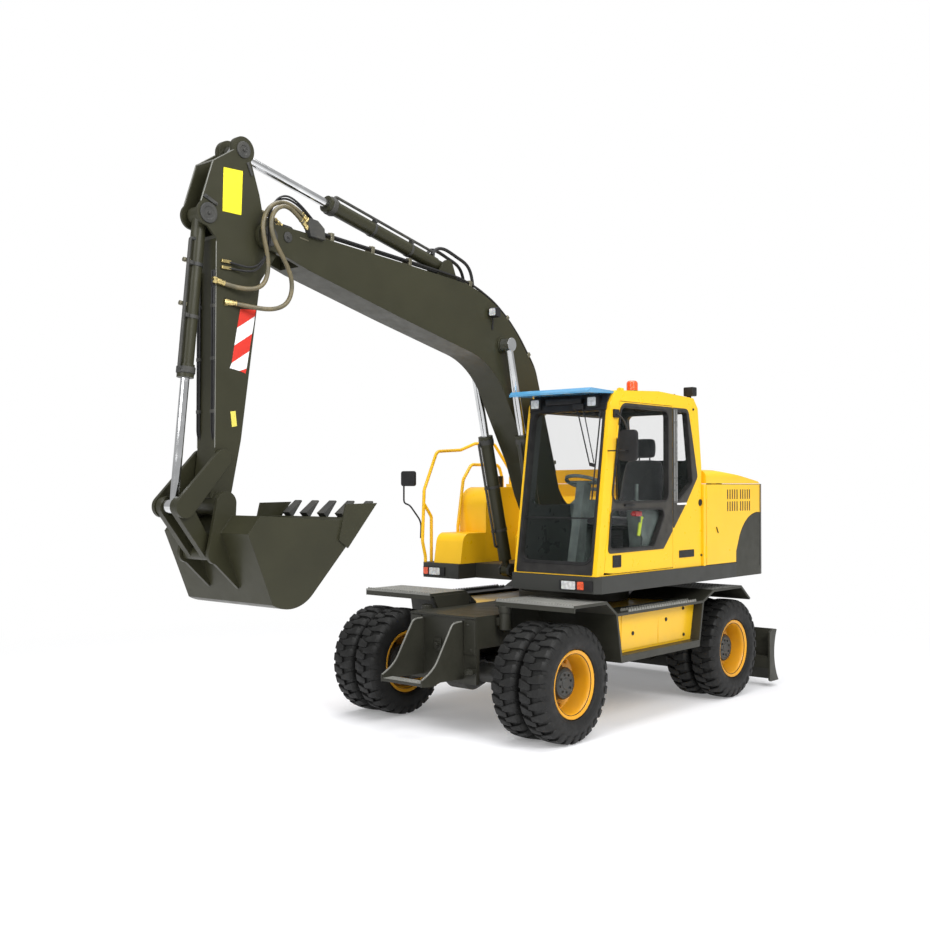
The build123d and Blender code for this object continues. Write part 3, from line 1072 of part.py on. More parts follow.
TOOTH_ROWS = (-420, -210, 0, 210, 420)
with BuildPart() as bucket_teeth:
    (run_x, _, run_z), _ = along(HEEL, LIP)
    norm_x, norm_z = run_z, -run_x
    tooth = [(LIP[0] + run_x * u + norm_x * v, LIP[1] + run_z * u + norm_z * v)
             for u, v in ((0, -18), (0, 40), (165, 14), (165, 2))]
    for y in TOOTH_ROWS:
        plate(tooth, y - 40, y + 40)
save(bucket_teeth, "bucket_teeth")
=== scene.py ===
"""Looks of the wheeled excavator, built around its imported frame.

Helpers take the machine's own millimetres: X forward from the slewing axis, Y to its left, Z up.
Each piece has its own short function, and the last section calls them in order.
"""
import math
from collections import namedtuple

import bmesh
import bpy
from mathutils import Matrix, Vector


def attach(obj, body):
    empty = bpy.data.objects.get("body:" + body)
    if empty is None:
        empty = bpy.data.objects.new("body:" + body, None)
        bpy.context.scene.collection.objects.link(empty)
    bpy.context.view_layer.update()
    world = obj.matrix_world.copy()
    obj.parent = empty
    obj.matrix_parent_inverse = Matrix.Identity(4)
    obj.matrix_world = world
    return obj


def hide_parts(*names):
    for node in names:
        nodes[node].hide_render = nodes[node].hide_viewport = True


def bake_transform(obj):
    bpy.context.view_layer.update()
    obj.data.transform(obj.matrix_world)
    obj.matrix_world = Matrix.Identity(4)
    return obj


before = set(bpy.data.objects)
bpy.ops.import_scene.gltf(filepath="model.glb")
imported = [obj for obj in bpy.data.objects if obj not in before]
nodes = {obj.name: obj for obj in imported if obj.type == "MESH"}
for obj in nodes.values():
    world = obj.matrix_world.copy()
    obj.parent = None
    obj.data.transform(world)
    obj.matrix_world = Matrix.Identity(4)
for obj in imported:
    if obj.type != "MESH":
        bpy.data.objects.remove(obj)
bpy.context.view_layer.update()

# ---- Places that the pieces share ----
ORIGIN_X = 1345          # the frame's origin, ahead of the slewing axis
AXLE_Z = 502
FRONT_AXLE_X = 1700
REAR_AXLE_X = -1100
TWINS_MEET_Y = 969.5     # between a pair of tyres
TWIN_HALF_GAP = 146      # from there to the middle of either tyre
CAB_LEFT_Y = 1227.5
CAB_RIGHT_Y = 320
SEAT_Y = (CAB_LEFT_Y + CAB_RIGHT_Y) / 2
FRONT_FOOT = (1385, 1385)                # (X, Z) where the cab's sloping front begins
FRONT_LEAN = (-225, 1515)                # and how far it goes back and up
FRONT_LENGTH = math.hypot(*FRONT_LEAN)
FRONT_WAY = (FRONT_LEAN[0] / FRONT_LENGTH, FRONT_LEAN[1] / FRONT_LENGTH)
SIDES = ((1, "left"), (-1, "right"))


def at(x, y, z):
    """A point of the frame, in metres, from the machine's own millimetres."""
    return Vector(((x - ORIGIN_X) / 1000, y / 1000, z / 1000))


# ---- Camera ----
CAMERA_AT = (8.167, 6.785, 2.188)
CAMERA_YAW = -2.4265
CAMERA_PITCH = 0.0169
CAMERA_LENS = 43.85

lens = bpy.data.cameras.new("camera")
lens.lens = CAMERA_LENS
lens.sensor_width = 36
lens.clip_end = 400
camera = bpy.data.objects.new("camera", lens)
bpy.context.scene.collection.objects.link(camera)
camera.location = CAMERA_AT
looking = Vector((math.cos(CAMERA_YAW) * math.cos(CAMERA_PITCH),
                  math.sin(CAMERA_YAW) * math.cos(CAMERA_PITCH), math.sin(CAMERA_PITCH)))
camera.rotation_euler = looking.to_track_quat("-Z", "Y").to_euler()
bpy.context.scene.camera = camera


# ---- Node trees ----
class Tree:
    """A node tree filled by short calls; an input takes a value or another node's socket."""

    def __init__(self, owner):
        owner.use_nodes = True
        self.tree = owner.node_tree
        self.tree.nodes.clear()

    def feed(self, socket, value):
        if isinstance(value, bpy.types.NodeSocket):
            self.tree.links.new(value, socket)
        else:
            socket.default_value = value

    def add(self, kind, inputs=(), **settings):
        node = self.tree.nodes.new("ShaderNode" + kind)
        for name, value in settings.items():
            setattr(node, name, value)
        for key, value in dict(inputs).items():
            self.feed(node.inputs[key], value)
        return node

    def math(self, kind, first, second):
        return self.add("Math", {0: first, 1: second}, operation=kind).outputs[0]

    def seen_by(self, first, second):
        """1 for a ray of either kind, else 0."""
        path = self.add("LightPath")
        return self.math("MAXIMUM", path.outputs[f"Is {first} Ray"], path.outputs[f"Is {second} Ray"])


class Recipe(Tree):
    """A material around one Principled shader."""

    def __init__(self, name, colour, roughness, metallic=0.0, coat=0.0, specular=0.5):
        self.material = bpy.data.materials.new(name)
        super().__init__(self.material)
        self.colour = (*colour, 1)
        self.shader = self.add("BsdfPrincipled", {
            "Base Color": self.colour, "Roughness": roughness, "Metallic": metallic,
            "Coat Weight": coat, "Coat Roughness": 0.12, "Specular IOR Level": specular})
        self.add("OutputMaterial", {"Surface": self.shader.outputs[0]})
        self.where = self.add("TexCoord").outputs["Object"]
        self.normal = None

    def put(self, socket, value):
        self.feed(self.shader.inputs[socket], value)

    def paint(self, value):
        self.colour = value
        self.put("Base Color", value)

    def noise(self, scale, detail, rough=0.55):
        inputs = {"Vector": self.where, "Scale": scale, "Detail": detail, "Roughness": rough}
        return self.add("TexNoise", inputs).outputs["Fac"]

    def between(self, value, low, high, to_low, to_high):
        inputs = {"Value": value, "From Min": low, "From Max": high, "To Min": to_low, "To Max": to_high}
        return self.add("MapRange", inputs).outputs["Result"]

    def mixed(self, share, first, second):
        """A colour between two, each a colour or a socket."""
        first, second = ((*c[:3], 1) if isinstance(c, tuple) else c for c in (first, second))
        return self.add("Mix", {"Factor": share, 6: first, 7: second}, data_type="RGBA").outputs[2]

    def mottle(self, scale, detail, low, high, first, second):
        """A colour that wanders between two in patches."""
        return self.mixed(self.between(self.noise(scale, detail), low, high, 0, 1), first, second)

    def gloss(self, scale, detail, low, high):
        """A roughness that wanders between two values."""
        self.put("Roughness", self.between(self.noise(scale, detail), 0.3, 0.7, low, high))

    def axes(self):
        return self.add("SeparateXYZ", {0: self.where}).outputs

    def turn_normal(self, node):
        self.normal = node.outputs[0]
        self.put("Normal", self.normal)

    def round_edges(self, radius):
        self.turn_normal(self.add("Bevel", {"Radius": radius}, samples=4))

    def bump(self, height, strength, distance):
        inputs = {"Strength": strength, "Distance": distance, "Height": height}
        if self.normal is not None:
            inputs["Normal"] = self.normal
        self.turn_normal(self.add("Bump", inputs))


# ---- Materials ----
DUST = (0.24, 0.22, 0.18)
DUST_LOW = 0.25          # metres above the floor, where dust is thickest
DUST_HIGH = 1.5          # and where it ends


def shade(colour, factor):
    return tuple(min(1.0, c * factor) for c in colour)


def painted(name, colour, roughness, coat, variety, edge=0.006, dust=0.0, grain=0.25, specular=0.42):
    """Sprayed paint: a slightly uneven colour and gloss, a fine orange peel, dust low down."""
    r = Recipe(name, colour, roughness, coat=coat, specular=specular)
    r.round_edges(edge)
    value = r.mottle(2.2, 4, 0.3, 0.7, shade(colour, 1 - variety), shade(colour, 1 + variety))
    if dust:
        low = r.between(r.axes()["Z"], DUST_LOW, DUST_HIGH, dust, 0)
        patchy = r.math("MULTIPLY", low, r.between(r.noise(6, 6, 0.7), 0.35, 0.75, 0, 1))
        value = r.mixed(patchy, value, DUST)
    r.paint(value)
    r.gloss(9, 5, roughness - 0.05, roughness + 0.07)
    r.bump(r.noise(240, 2), grain, 0.0006)
    return r


def cast_iron():
    """Dark painted castings with a coarse skin."""
    r = Recipe("cast_dark", (0.032, 0.033, 0.030), 0.55)
    r.round_edges(0.008)
    r.paint(r.mottle(7, 5, 0.35, 0.7, (0.024, 0.025, 0.024), (0.05, 0.048, 0.04)))
    r.gloss(14, 4, 0.45, 0.65)
    r.bump(r.noise(120, 4), 0.5, 0.001)
    return r


def rubber(name, colour, roughness, grain):
    """Rubber or moulded plastic."""
    r = Recipe(name, colour, roughness, specular=0.3)
    r.paint(r.mottle(8, 5, 0.35, 0.7, shade(colour, 0.75), shade(colour, 1.35)))
    r.gloss(20, 3, roughness - 0.07, roughness + 0.1)
    r.bump(r.noise(160, 4), grain, 0.0008)
    return r


def metal(name, colour, roughness, grime=0.0):
    """Bare or plated metal, with grime in patches."""
    r = Recipe(name, colour, roughness, metallic=1.0)
    r.round_edges(0.003)
    r.gloss(18, 4, max(0.03, roughness - 0.06), roughness + 0.08)
    value = r.mottle(5, 4, 0.4, 0.7, shade(colour, 0.88), shade(colour, 1.08))
    if grime:
        value = r.mixed(r.between(r.noise(11, 6, 0.7), 0.5, 0.75, 0, grime), value, (0.05, 0.045, 0.035))
    r.paint(value)
    return r


def glass(name, colour, alpha, roughness=0.02):
    """Tinted glass or clear plastic, a little wavy."""
    r = Recipe(name, colour, roughness, specular=0.6)
    r.put("Alpha", alpha)
    r.put("IOR", 1.45)
    r.bump(r.noise(3.0, 2), 0.02, 0.002)
    return r


def lens_plastic(name, colour, glow=0.0):
    """A moulded lens with fine ribs across it."""
    r = Recipe(name, colour, 0.16, coat=0.6)
    r.paint(r.mottle(30, 2, 0.4, 0.6, shade(colour, 0.8), shade(colour, 1.1)))
    r.put("Subsurface Weight", 0.15)
    r.put("Subsurface Radius", (0.02, 0.006, 0.002))
    if glow:
        r.put("Emission Color", (*colour, 1))
        r.put("Emission Strength", glow)
    ribs = r.add("TexWave", {"Scale": 40, "Vector": r.where}, bands_direction="Z")
    r.bump(ribs.outputs["Fac"], 0.3, 0.002)
    return r


def printed(name, colour):
    """A printed or sheet colour that is nearly even."""
    r = Recipe(name, colour, 0.35, coat=0.2)
    r.paint(r.mottle(16, 4, 0.35, 0.7, shade(colour, 0.95), shade(colour, 1.03)))
    r.gloss(40, 3, 0.30, 0.43)
    r.bump(r.noise(300, 2), 0.08, 0.0003)
    return r


def hose_rubber():
    """Hoses in an oily brown cover."""
    r = Recipe("hose_rubber", (0.10, 0.085, 0.045), 0.42)
    r.paint(r.mottle(12, 4, 0.35, 0.65, (0.085, 0.075, 0.042), (0.15, 0.12, 0.06)))
    r.bump(r.noise(300, 2), 0.3, 0.0005)
    return r


def cloth():
    """The seat's woven cover."""
    r = Recipe("seat_cloth", (0.030, 0.031, 0.034), 0.85)
    r.put("Sheen Weight", 0.4)
    r.put("Sheen Roughness", 0.5)
    weave = r.add("TexBrick", {"Scale": 260, "Mortar Size": 0.03, "Vector": r.where})
    r.paint(r.mottle(15, 4, 0.4, 0.7, (0.022, 0.023, 0.026), (0.042, 0.043, 0.046)))
    r.bump(weave.outputs["Fac"], 0.4, 0.001)
    return r


def lined(name, outside, planes):
    """Paint on the outermost faces, and a dark lining on every face that lies deeper than 4 mm."""
    r = painted(name, outside, 0.30, 0.2, dust=0.10, variety=0.03)
    paint = r.colour
    places = r.axes()
    nearest = None
    for *normal, reach in planes:
        total = None
        for place, weight in zip(places, normal):
            if weight:
                term = r.math("MULTIPLY", place, weight)
                total = term if total is None else r.math("ADD", total, term)
        depth = r.math("SUBTRACT", total, reach)
        nearest = depth if nearest is None else r.math("MAXIMUM", nearest, depth)
    deep = r.between(nearest, -0.0045, -0.0035, 1, 0)
    r.paint(r.mixed(deep, paint, (0.030, 0.033, 0.031)))
    r.put("Coat Weight", 0.0)
    return r


def outer_planes(outline, low, high):
    """Planes round a convex side view in (X, Z) and its two ends in Y, in metres."""
    rows = [(0, 1, 0, high / 1000), (0, -1, 0, -low / 1000)]
    middle = sum((Vector(p) for p in outline), Vector((0, 0))) / len(outline)
    for a, b in zip(outline, outline[1:] + outline[:1]):
        way = (Vector(b) - Vector(a)).normalized()
        normal = Vector((way.y, -way.x))
        if normal.dot(Vector(a) - middle) < 0:
            normal = -normal
        reach = (normal.x * (a[0] - ORIGIN_X) + normal.y * a[1]) / 1000
        rows.append((normal.x, 0, normal.y, reach))
    return rows


YELLOW = (0.94, 0.545, 0.010)
# the rims' yellow, darker and more orange than the body's: painted shade of the rims' deep dish
RIM_YELLOW_SHADED = (0.78, 0.36, 0.010)
OLIVE = (0.030, 0.0295, 0.0150)
CHARCOAL = (0.029, 0.029, 0.021)
CAB_SIDE = ((-438, 1385), (1385, 1385), (1160, 2900), (1075, 3020), (360, 3055), (-286, 3025),
            (-370, 2930), (-438, 2350))
RECIPES = {
    "yellow": painted("yellow_paint", YELLOW, 0.32, 0.2, dust=0.10, variety=0.03),
    "cab": lined("cab_yellow", YELLOW, outer_planes(CAB_SIDE, CAB_RIGHT_Y, CAB_LEFT_Y)),
    "door": lined("door_yellow", YELLOW, [(0, 1, 0, CAB_LEFT_Y / 1000)]),
    # painted shade: the rims take the darker yellow of their shaded dish
    "rim": painted("rim_yellow_shaded", RIM_YELLOW_SHADED, 0.36, 0.15, dust=0.12, variety=0.05),
    "olive": painted("boom_paint", OLIVE, 0.40, 0.06, variety=0.12, specular=0.26),
    "charcoal": painted("frame_paint", CHARCOAL, 0.44, 0.05, dust=0.08, variety=0.12, specular=0.32),
    "skirt": painted("skirt_paint", (0.034, 0.035, 0.031), 0.42, 0.05, variety=0.08, specular=0.32),
    "pillar": painted("pillar_grey", (0.10, 0.10, 0.095), 0.35, 0.2, edge=0.003, variety=0.1),
    "hub": painted("hub_dark", (0.020, 0.021, 0.018), 0.42, 0.2, grain=0.4, variety=0.15),
    # painted highlight: pale grey along the step plates' edges; the saw teeth along the side steps take the
    # same grey
    "edge": painted("step_edge_highlight", (0.19, 0.19, 0.17), 0.36, 0.2, edge=0.003, variety=0.2),
    # pale grey lines along the arm's edges
    "pale_edge": painted("pale_arm_edge", (0.16, 0.16, 0.14), 0.38, 0.1, edge=0.002, variety=0.3),
    # the tread plates' pale grey is partly their own tone and partly painted top light on these upward faces
    "top_lit_tread_plate": painted("top_lit_tread_plate", (0.24, 0.24, 0.22), 0.46, 0.05, edge=0.002, variety=0.12),
    "cast": cast_iron(),
    "tyre": rubber("tyre_rubber", (0.0105, 0.0105, 0.0100), 0.56, 0.5),
    "black": rubber("black_plastic", (0.013, 0.013, 0.0135), 0.42, 0.2),
    "seal": rubber("frame_rubber", (0.020, 0.019, 0.018), 0.48, 0.2),
    "door_frame": rubber("door_frame_black", (0.040, 0.037, 0.031), 0.40, 0.15),
    "console": rubber("console_grey", (0.120, 0.145, 0.135), 0.5, 0.3),
    "hose_black": rubber("hose_black", (0.016, 0.016, 0.016), 0.5, 0.6),
    "hose": hose_rubber(),
    "cloth": cloth(),
    "chrome": metal("chrome", (0.72, 0.73, 0.74), 0.10),
    "silver": metal("silver", (0.66, 0.67, 0.67), 0.28),
    "zinc": metal("zinc_pipe", (0.30, 0.28, 0.20), 0.32, grime=0.4),
    "brass": metal("plated_fitting", (0.62, 0.50, 0.22), 0.30),
    "glass": glass("cab_glass", (0.030, 0.045, 0.040), 0.055),
    "visor": glass("visor_blue", (0.10, 0.36, 0.62), 0.72, 0.12),
    "amber": lens_plastic("amber_lens", (0.80, 0.085, 0.012), 0.03),
    "red": lens_plastic("red_plastic", (0.62, 0.02, 0.02)),
    "lamp_clear": lens_plastic("lamp_clear", (0.62, 0.63, 0.62), 0.05),
    "plate_yellow": printed("plate_yellow", (0.84, 0.74, 0.02)),
    "sign_red": printed("sign_red", (0.62, 0.026, 0.012)),
    "sign_white": printed("sign_white", (0.80, 0.80, 0.80)),
    "tag": printed("tag_yellow", (0.70, 0.62, 0.10)),
    "lime": printed("lime_grip", (0.50, 0.62, 0.04)),
}
MAT = {key: recipe.material for key, recipe in RECIPES.items()}

DRESS = {
    "yellow": "body_panels side_door_left side_door_right engine_hood fuel_tank step_box handrails"
              " tool_boxes",
    "cab": "cab_shell",
    "door": "cab_door",
    "olive": "boom arm bucket bucket_link rockers boom_barrels arm_barrel bucket_barrel",
    "charcoal": "chassis_frame front_steps mudguards box_steps blade blade_barrels tow_lugs counterweight"
                " slew_ring",
    "skirt": "upper_frame",
    "cast": "front_axle rear_axle knuckle_left knuckle_right driveline engine_block bucket_teeth",
    "chrome": "boom_rods arm_rod bucket_rod blade_rods steering_rod",
    "glass": "windshield rear_window side_windows door_glass",
    "visor": "roof_visor",
    "amber": "beacon",
    "black": "mirrors tank_cap head_lamps work_lamps",
    "cloth": "seat",
    "console": "controls",
    "rim": "wheel_front_left wheel_front_right wheel_rear_left wheel_rear_right",
    "tyre": "tyres_front_left tyres_front_right tyres_rear_left tyres_rear_right",
}
for key, names in DRESS.items():
    for name in names.split():
        nodes[name].data.materials.clear()
        nodes[name].data.materials.append(MAT[key])

# ---- Floor, light and background ----
WHITE = (1, 1, 1, 1)
FLOOR_GREY = (0.80, 0.80, 0.82, 1)
FLOOR_LIFT = 0.22        # how much the floor glows for the camera
FLOOR_NEAR = 3.5         # metres from the middle, where the floor begins to turn white
FLOOR_FAR = 9.0
SKY_STRENGTH = 0.50


def pale_floor():
    """A pale floor that takes shadows, and that the camera sees turn white away from the machine."""
    material = bpy.data.materials.new("floor_white")
    tree = Tree(material)
    seen = tree.seen_by("Camera", "Glossy")
    diffuse = tree.add("BsdfDiffuse", {"Color": FLOOR_GREY})
    glow = tree.add("Emission", {"Color": WHITE, "Strength": tree.math("MULTIPLY", seen, FLOOR_LIFT)})
    lit = tree.add("AddShader", {0: diffuse.outputs[0], 1: glow.outputs[0]})
    where = tree.add("TexCoord").outputs["Object"]
    reach = tree.add("VectorMath", {0: where}, operation="LENGTH").outputs["Value"]
    fade = tree.add("MapRange", {"Value": reach, "From Min": FLOOR_NEAR, "From Max": FLOOR_FAR},
                    interpolation_type="SMOOTHSTEP")
    share = tree.math("MULTIPLY", fade.outputs["Result"], seen)
    white = tree.add("Emission", {"Color": WHITE})
    mix = tree.add("MixShader", {0: share, 1: lit.outputs[0], 2: white.outputs[0]})
    tree.add("OutputMaterial", {"Surface": mix.outputs[0]})
    return material


def studio():
    """An even sky that lights the machine, and a white backdrop for the camera."""
    world = bpy.data.worlds.new("studio")
    bpy.context.scene.world = world
    tree = Tree(world)
    sky = tree.add("Background", {"Color": WHITE, "Strength": SKY_STRENGTH})
    backdrop = tree.add("Background", {"Color": WHITE, "Strength": 1.0})
    seen = tree.seen_by("Camera", "Transmission")
    choose = tree.add("MixShader", {0: seen, 1: sky.outputs[0], 2: backdrop.outputs[0]})
    tree.add("OutputWorld", {"Surface": choose.outputs[0]})


def panel_light(name, place, aim, size, power):
    """A rectangular lamp; places and sizes in metres, power in watts."""
    data = bpy.data.lights.new(name, "AREA")
    data.shape = "RECTANGLE"
    data.size, data.size_y = size
    data.energy = power
    lamp = bpy.data.objects.new(name, data)
    bpy.context.scene.collection.objects.link(lamp)
    lamp.location = place
    lamp.rotation_euler = (Vector(aim) - Vector(place)).to_track_quat("-Z", "Y").to_euler()


bpy.ops.mesh.primitive_plane_add(size=300, location=(0, 0, 0))
floor = bpy.context.object
floor.name = "floor"
floor.data.materials.append(pale_floor())
studio()
panel_light("key", (3.0, 9.5, 8.0), (0.0, 0.0, 1.6), (7, 5), 900)
panel_light("front", (10.0, 1.5, 6.5), (0.5, 0.0, 1.8), (6, 5), 420)
panel_light("top", (0.0, 0.5, 12.0), (0.0, 0.0, 0.0), (9, 9), 950)
bpy.context.scene.view_settings.view_transform = "Standard"


# ---- Outlines ----
def plain(points, radius, steps):
    """A closed outline with its corners rounded, by one radius or by one for each corner."""
    out = []
    count = len(points)
    for i, corner in enumerate(points):
        corner = Vector(corner)
        before = Vector(points[i - 1]) - corner
        after = Vector(points[(i + 1) % count]) - corner
        half = before.angle(after) / 2
        size = radius[i] if isinstance(radius, list) else radius
        reach = min(size / math.tan(half), before.length * 0.49, after.length * 0.49)
        size = reach * math.tan(half)
        middle = corner + (before.normalized() + after.normalized()).normalized() * (size / math.sin(half))
        start = corner + before.normalized() * reach - middle
        end = corner + after.normalized() * reach - middle
        turn = start.angle_signed(end)
        for k in range(steps + 1):
            angle = -turn * k / steps
            out.append((middle.x + start.x * math.cos(angle) - start.y * math.sin(angle),
                        middle.y + start.x * math.sin(angle) + start.y * math.cos(angle)))
    return out


def rounded(u, v, radius, steps=3):
    """A rectangle between two values each way, with its corners rounded."""
    return plain([(u[0], v[0]), (u[1], v[0]), (u[1], v[1]), (u[0], v[1])], radius, steps)


def inset(points, depth):
    """A convex outline moved inward by this much, or outward where it is negative."""
    middle = sum((Vector(p) for p in points), Vector((0, 0))) / len(points)
    lines = []
    for a, b in zip(points, points[1:] + points[:1]):
        a, b = Vector(a), Vector(b)
        way = (b - a).normalized()
        normal = Vector((-way.y, way.x))
        if normal.dot(middle - a) < 0:
            normal = -normal
        lines.append((a + normal * depth, way))
    out = []
    for (a, u), (b, v) in zip(lines[-1:] + lines[:-1], lines):
        cross = u.x * v.y - u.y * v.x
        t = ((b - a).x * v.y - (b - a).y * v.x) / cross
        out.append(tuple(a + u * t))
    return out


def span(side, near, far):
    """The range of Y between two distances from the middle plane, on the left (1) or right (-1)."""
    return sorted((side * near, side * far))


def along(line, distance, off=0.0):
    """A point so far along a line in (X, Z), moved off it to its left."""
    start, end = Vector(line[0]), Vector(line[1])
    way = (end - start).normalized()
    spot = start + way * distance + Vector((-way.y, way.x)) * off
    return spot.x, spot.y


def side_plane(y):
    """Place of a panel drawn in (X, Z) on the plane at this Y."""
    return Matrix(((1, 0, 0, -ORIGIN_X / 1000), (0, 0, 1, y / 1000), (0, 1, 0, 0), (0, 0, 0, 1)))


def front_plane(lift):
    """Place of a panel drawn in (Y, distance up the cab's front), lifted off it."""
    ux, uz = FRONT_WAY
    return Matrix(((0, ux, uz, (FRONT_FOOT[0] - ORIGIN_X + uz * lift) / 1000), (1, 0, 0, 0),
                   (0, uz, -ux, (FRONT_FOOT[1] - ux * lift) / 1000), (0, 0, 0, 1)))


def up_front(z):
    """Distance up the cab's front to this height."""
    return (z - FRONT_FOOT[1]) / FRONT_WAY[1]


def on_front(y, z, lift=14.0):
    """A point just off the cab's front."""
    t = up_front(z)
    ux, uz = FRONT_WAY
    return (FRONT_FOOT[0] + ux * t + uz * lift, y, FRONT_FOOT[1] + uz * t - ux * lift)


# ---- Mesh builder ----
SHARP_ANGLE = 0.45       # radians between two faces, above which their edge takes a chamfer
BEND_STEPS = 6           # in each bend of a pipe


class Shape:
    """A mesh built in the machine's own millimetres."""

    def __init__(self):
        self.bm = bmesh.new()

    def skin(self, rings, loop=False, chamfer=0.0, segments=2):
        """Join rings of points, each with the same count, and close the ends or the loop."""
        rows = [[self.bm.verts.new(at(*p)) for p in ring] for ring in rings]
        faces = []
        pairs = list(zip(rows, rows[1:]))
        if loop:
            pairs.append((rows[-1], rows[0]))
        for low, high in pairs:
            for i in range(len(low)):
                j = (i + 1) % len(low)
                faces.append(self.bm.faces.new((low[i], low[j], high[j], high[i])))
        if not loop:
            faces.append(self.bm.faces.new(rows[0]))
            faces.append(self.bm.faces.new(rows[-1][::-1]))
        bmesh.ops.recalc_face_normals(self.bm, faces=faces)
        if chamfer:
            edges = dict.fromkeys(e for f in faces for e in f.edges if e.calc_face_angle(0) > SHARP_ANGLE)
            bmesh.ops.bevel(self.bm, geom=list(edges), offset=chamfer / 1000, segments=segments,
                            affect="EDGES", profile=0.6, clamp_overlap=True)

    def prism(self, points, low, high, across="y", chamfer=0.0, segments=2):
        """A plate of this outline; the pairs are (X, Z) across y, (Y, Z) across x, (X, Y) across z."""
        place = {"y": lambda u, v, w: (u, w, v), "x": lambda u, v, w: (w, u, v),
                 "z": lambda u, v, w: (u, v, w)}[across]
        self.skin([[place(u, v, w) for u, v in points] for w in (low, high)], chamfer=chamfer,
                  segments=segments)

    def box(self, x, y, z, chamfer, segments=2):
        self.prism([(x[0], y[0]), (x[1], y[0]), (x[1], y[1]), (x[0], y[1])], z[0], z[1], "z", chamfer,
                   segments)

    def turned(self, start, way, profile, sides, loop=False):
        """A solid of revolution about the line from `start` along `way`; rows are (distance, radius)."""
        start, way = Vector(start), Vector(way).normalized()
        first = way.orthogonal().normalized()
        second = way.cross(first)
        rings = []
        for distance, radius in profile:
            ring = []
            for k in range(sides):
                angle = 2 * math.pi * k / sides
                out = first * math.cos(angle) + second * math.sin(angle)
                ring.append(start + way * distance + out * radius)
            rings.append(ring)
        self.skin(rings, loop=loop)

    def drum(self, start, end, radius, chamfer, sides=24):
        """A cylinder between two points with its rims chamfered."""
        length = (Vector(end) - Vector(start)).length
        self.turned(start, Vector(end) - Vector(start),
                    [(0, radius - chamfer), (chamfer, radius), (length - chamfer, radius),
                     (length, radius - chamfer)], sides)

    def bolt(self, foot, way, size):
        """A hexagon head on a washer, standing on a face."""
        head = [(-1, size * 1.25), (2, size * 1.25), (2.2, size), (2 + size * 0.6, size),
                (2 + size * 0.75, size * 0.8)]
        self.turned(foot, way, head, 6)

    def pipe(self, points, radius, bend=40.0, sides=10):
        """A rigid pipe along straight runs, with its corners bent."""
        points = [Vector(p) for p in points]
        path = [points[0]]
        for before, corner, after in zip(points, points[1:], points[2:]):
            back, on = before - corner, after - corner
            reach = min(bend, back.length * 0.48, on.length * 0.48)
            start = corner + back.normalized() * reach
            end = corner + on.normalized() * reach
            for k in range(BEND_STEPS + 1):
                t = k / BEND_STEPS
                path.append(start * (1 - t) ** 2 + corner * 2 * t * (1 - t) + end * t * t)
        path.append(points[-1])
        self.sweep(path, radius, sides)

    def sweep(self, path, radius, sides):
        """A round section carried along a path without twist."""
        rings = []
        way = (path[1] - path[0]).normalized()
        first = way.orthogonal().normalized()
        for i, place in enumerate(path):
            way = (path[min(i + 1, len(path) - 1)] - path[max(i - 1, 0)]).normalized()
            first = (first - way * first.dot(way)).normalized()
            second = way.cross(first)
            rings.append([place + (first * math.cos(2 * math.pi * k / sides)
                                   + second * math.sin(2 * math.pi * k / sides)) * radius
                          for k in range(sides)])
        self.skin(rings)

    def hose(self, points, radius, sides):
        """A flexible hose along one smooth line."""
        curve = bpy.data.curves.new("hose_line", "CURVE")
        curve.dimensions = "3D"
        curve.resolution_u = 10
        spline = curve.splines.new("NURBS")
        spline.points.add(len(points) - 1)
        for point, place in zip(spline.points, points):
            point.co = (*place, 1)
        spline.order_u = 4 if len(points) > 3 else 3
        spline.use_endpoint_u = True
        holder = bpy.data.objects.new("hose_line", curve)
        line = bpy.data.meshes.new_from_object(holder)
        path = [v.co.copy() for v in line.vertices]
        bpy.data.objects.remove(holder)
        bpy.data.meshes.remove(line)
        self.sweep(path, radius, sides)

    def panel(self, outlines, thick, place, bevel=1.5):
        """A flat panel with holes, `thick` deep on both sides of its plane."""
        curve = bpy.data.curves.new("panel", "CURVE")
        curve.dimensions = "2D"
        curve.fill_mode = "BOTH"
        curve.extrude = (thick - bevel) / 1000
        curve.bevel_depth = bevel / 1000
        curve.bevel_resolution = 1
        curve.offset = -bevel / 1000
        for outline in outlines:
            spline = curve.splines.new("POLY")
            spline.points.add(len(outline) - 1)
            for point, (u, v) in zip(spline.points, outline):
                point.co = (u / 1000, v / 1000, 0, 1)
            spline.use_cyclic_u = True
        holder = bpy.data.objects.new("panel", curve)
        mesh = bpy.data.meshes.new_from_object(holder)
        mesh.transform(place)
        self.bm.from_mesh(mesh)
        bpy.data.objects.remove(holder)
        bpy.data.meshes.remove(mesh)

    def done(self, name, material, body, sharp=35.0, replaces=(), weighted=True):
        """Make the piece, which rides on the body, or on none where no body is given."""
        mesh = bpy.data.meshes.new(name)
        bmesh.ops.remove_doubles(self.bm, verts=self.bm.verts, dist=0.00001)
        self.bm.to_mesh(mesh)
        self.bm.free()
        mesh.materials.append(MAT[material])
        mesh.shade_smooth()
        mesh.set_sharp_from_angle(angle=math.radians(sharp))
        piece = bpy.data.objects.new(name, mesh)
        bpy.context.scene.collection.objects.link(piece)
        if weighted:
            modifier = piece.modifiers.new("normals", "WEIGHTED_NORMAL")
            modifier.keep_sharp = True
        if replaces:
            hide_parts(*replaces)
        if body:
            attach(piece, body)
        return piece


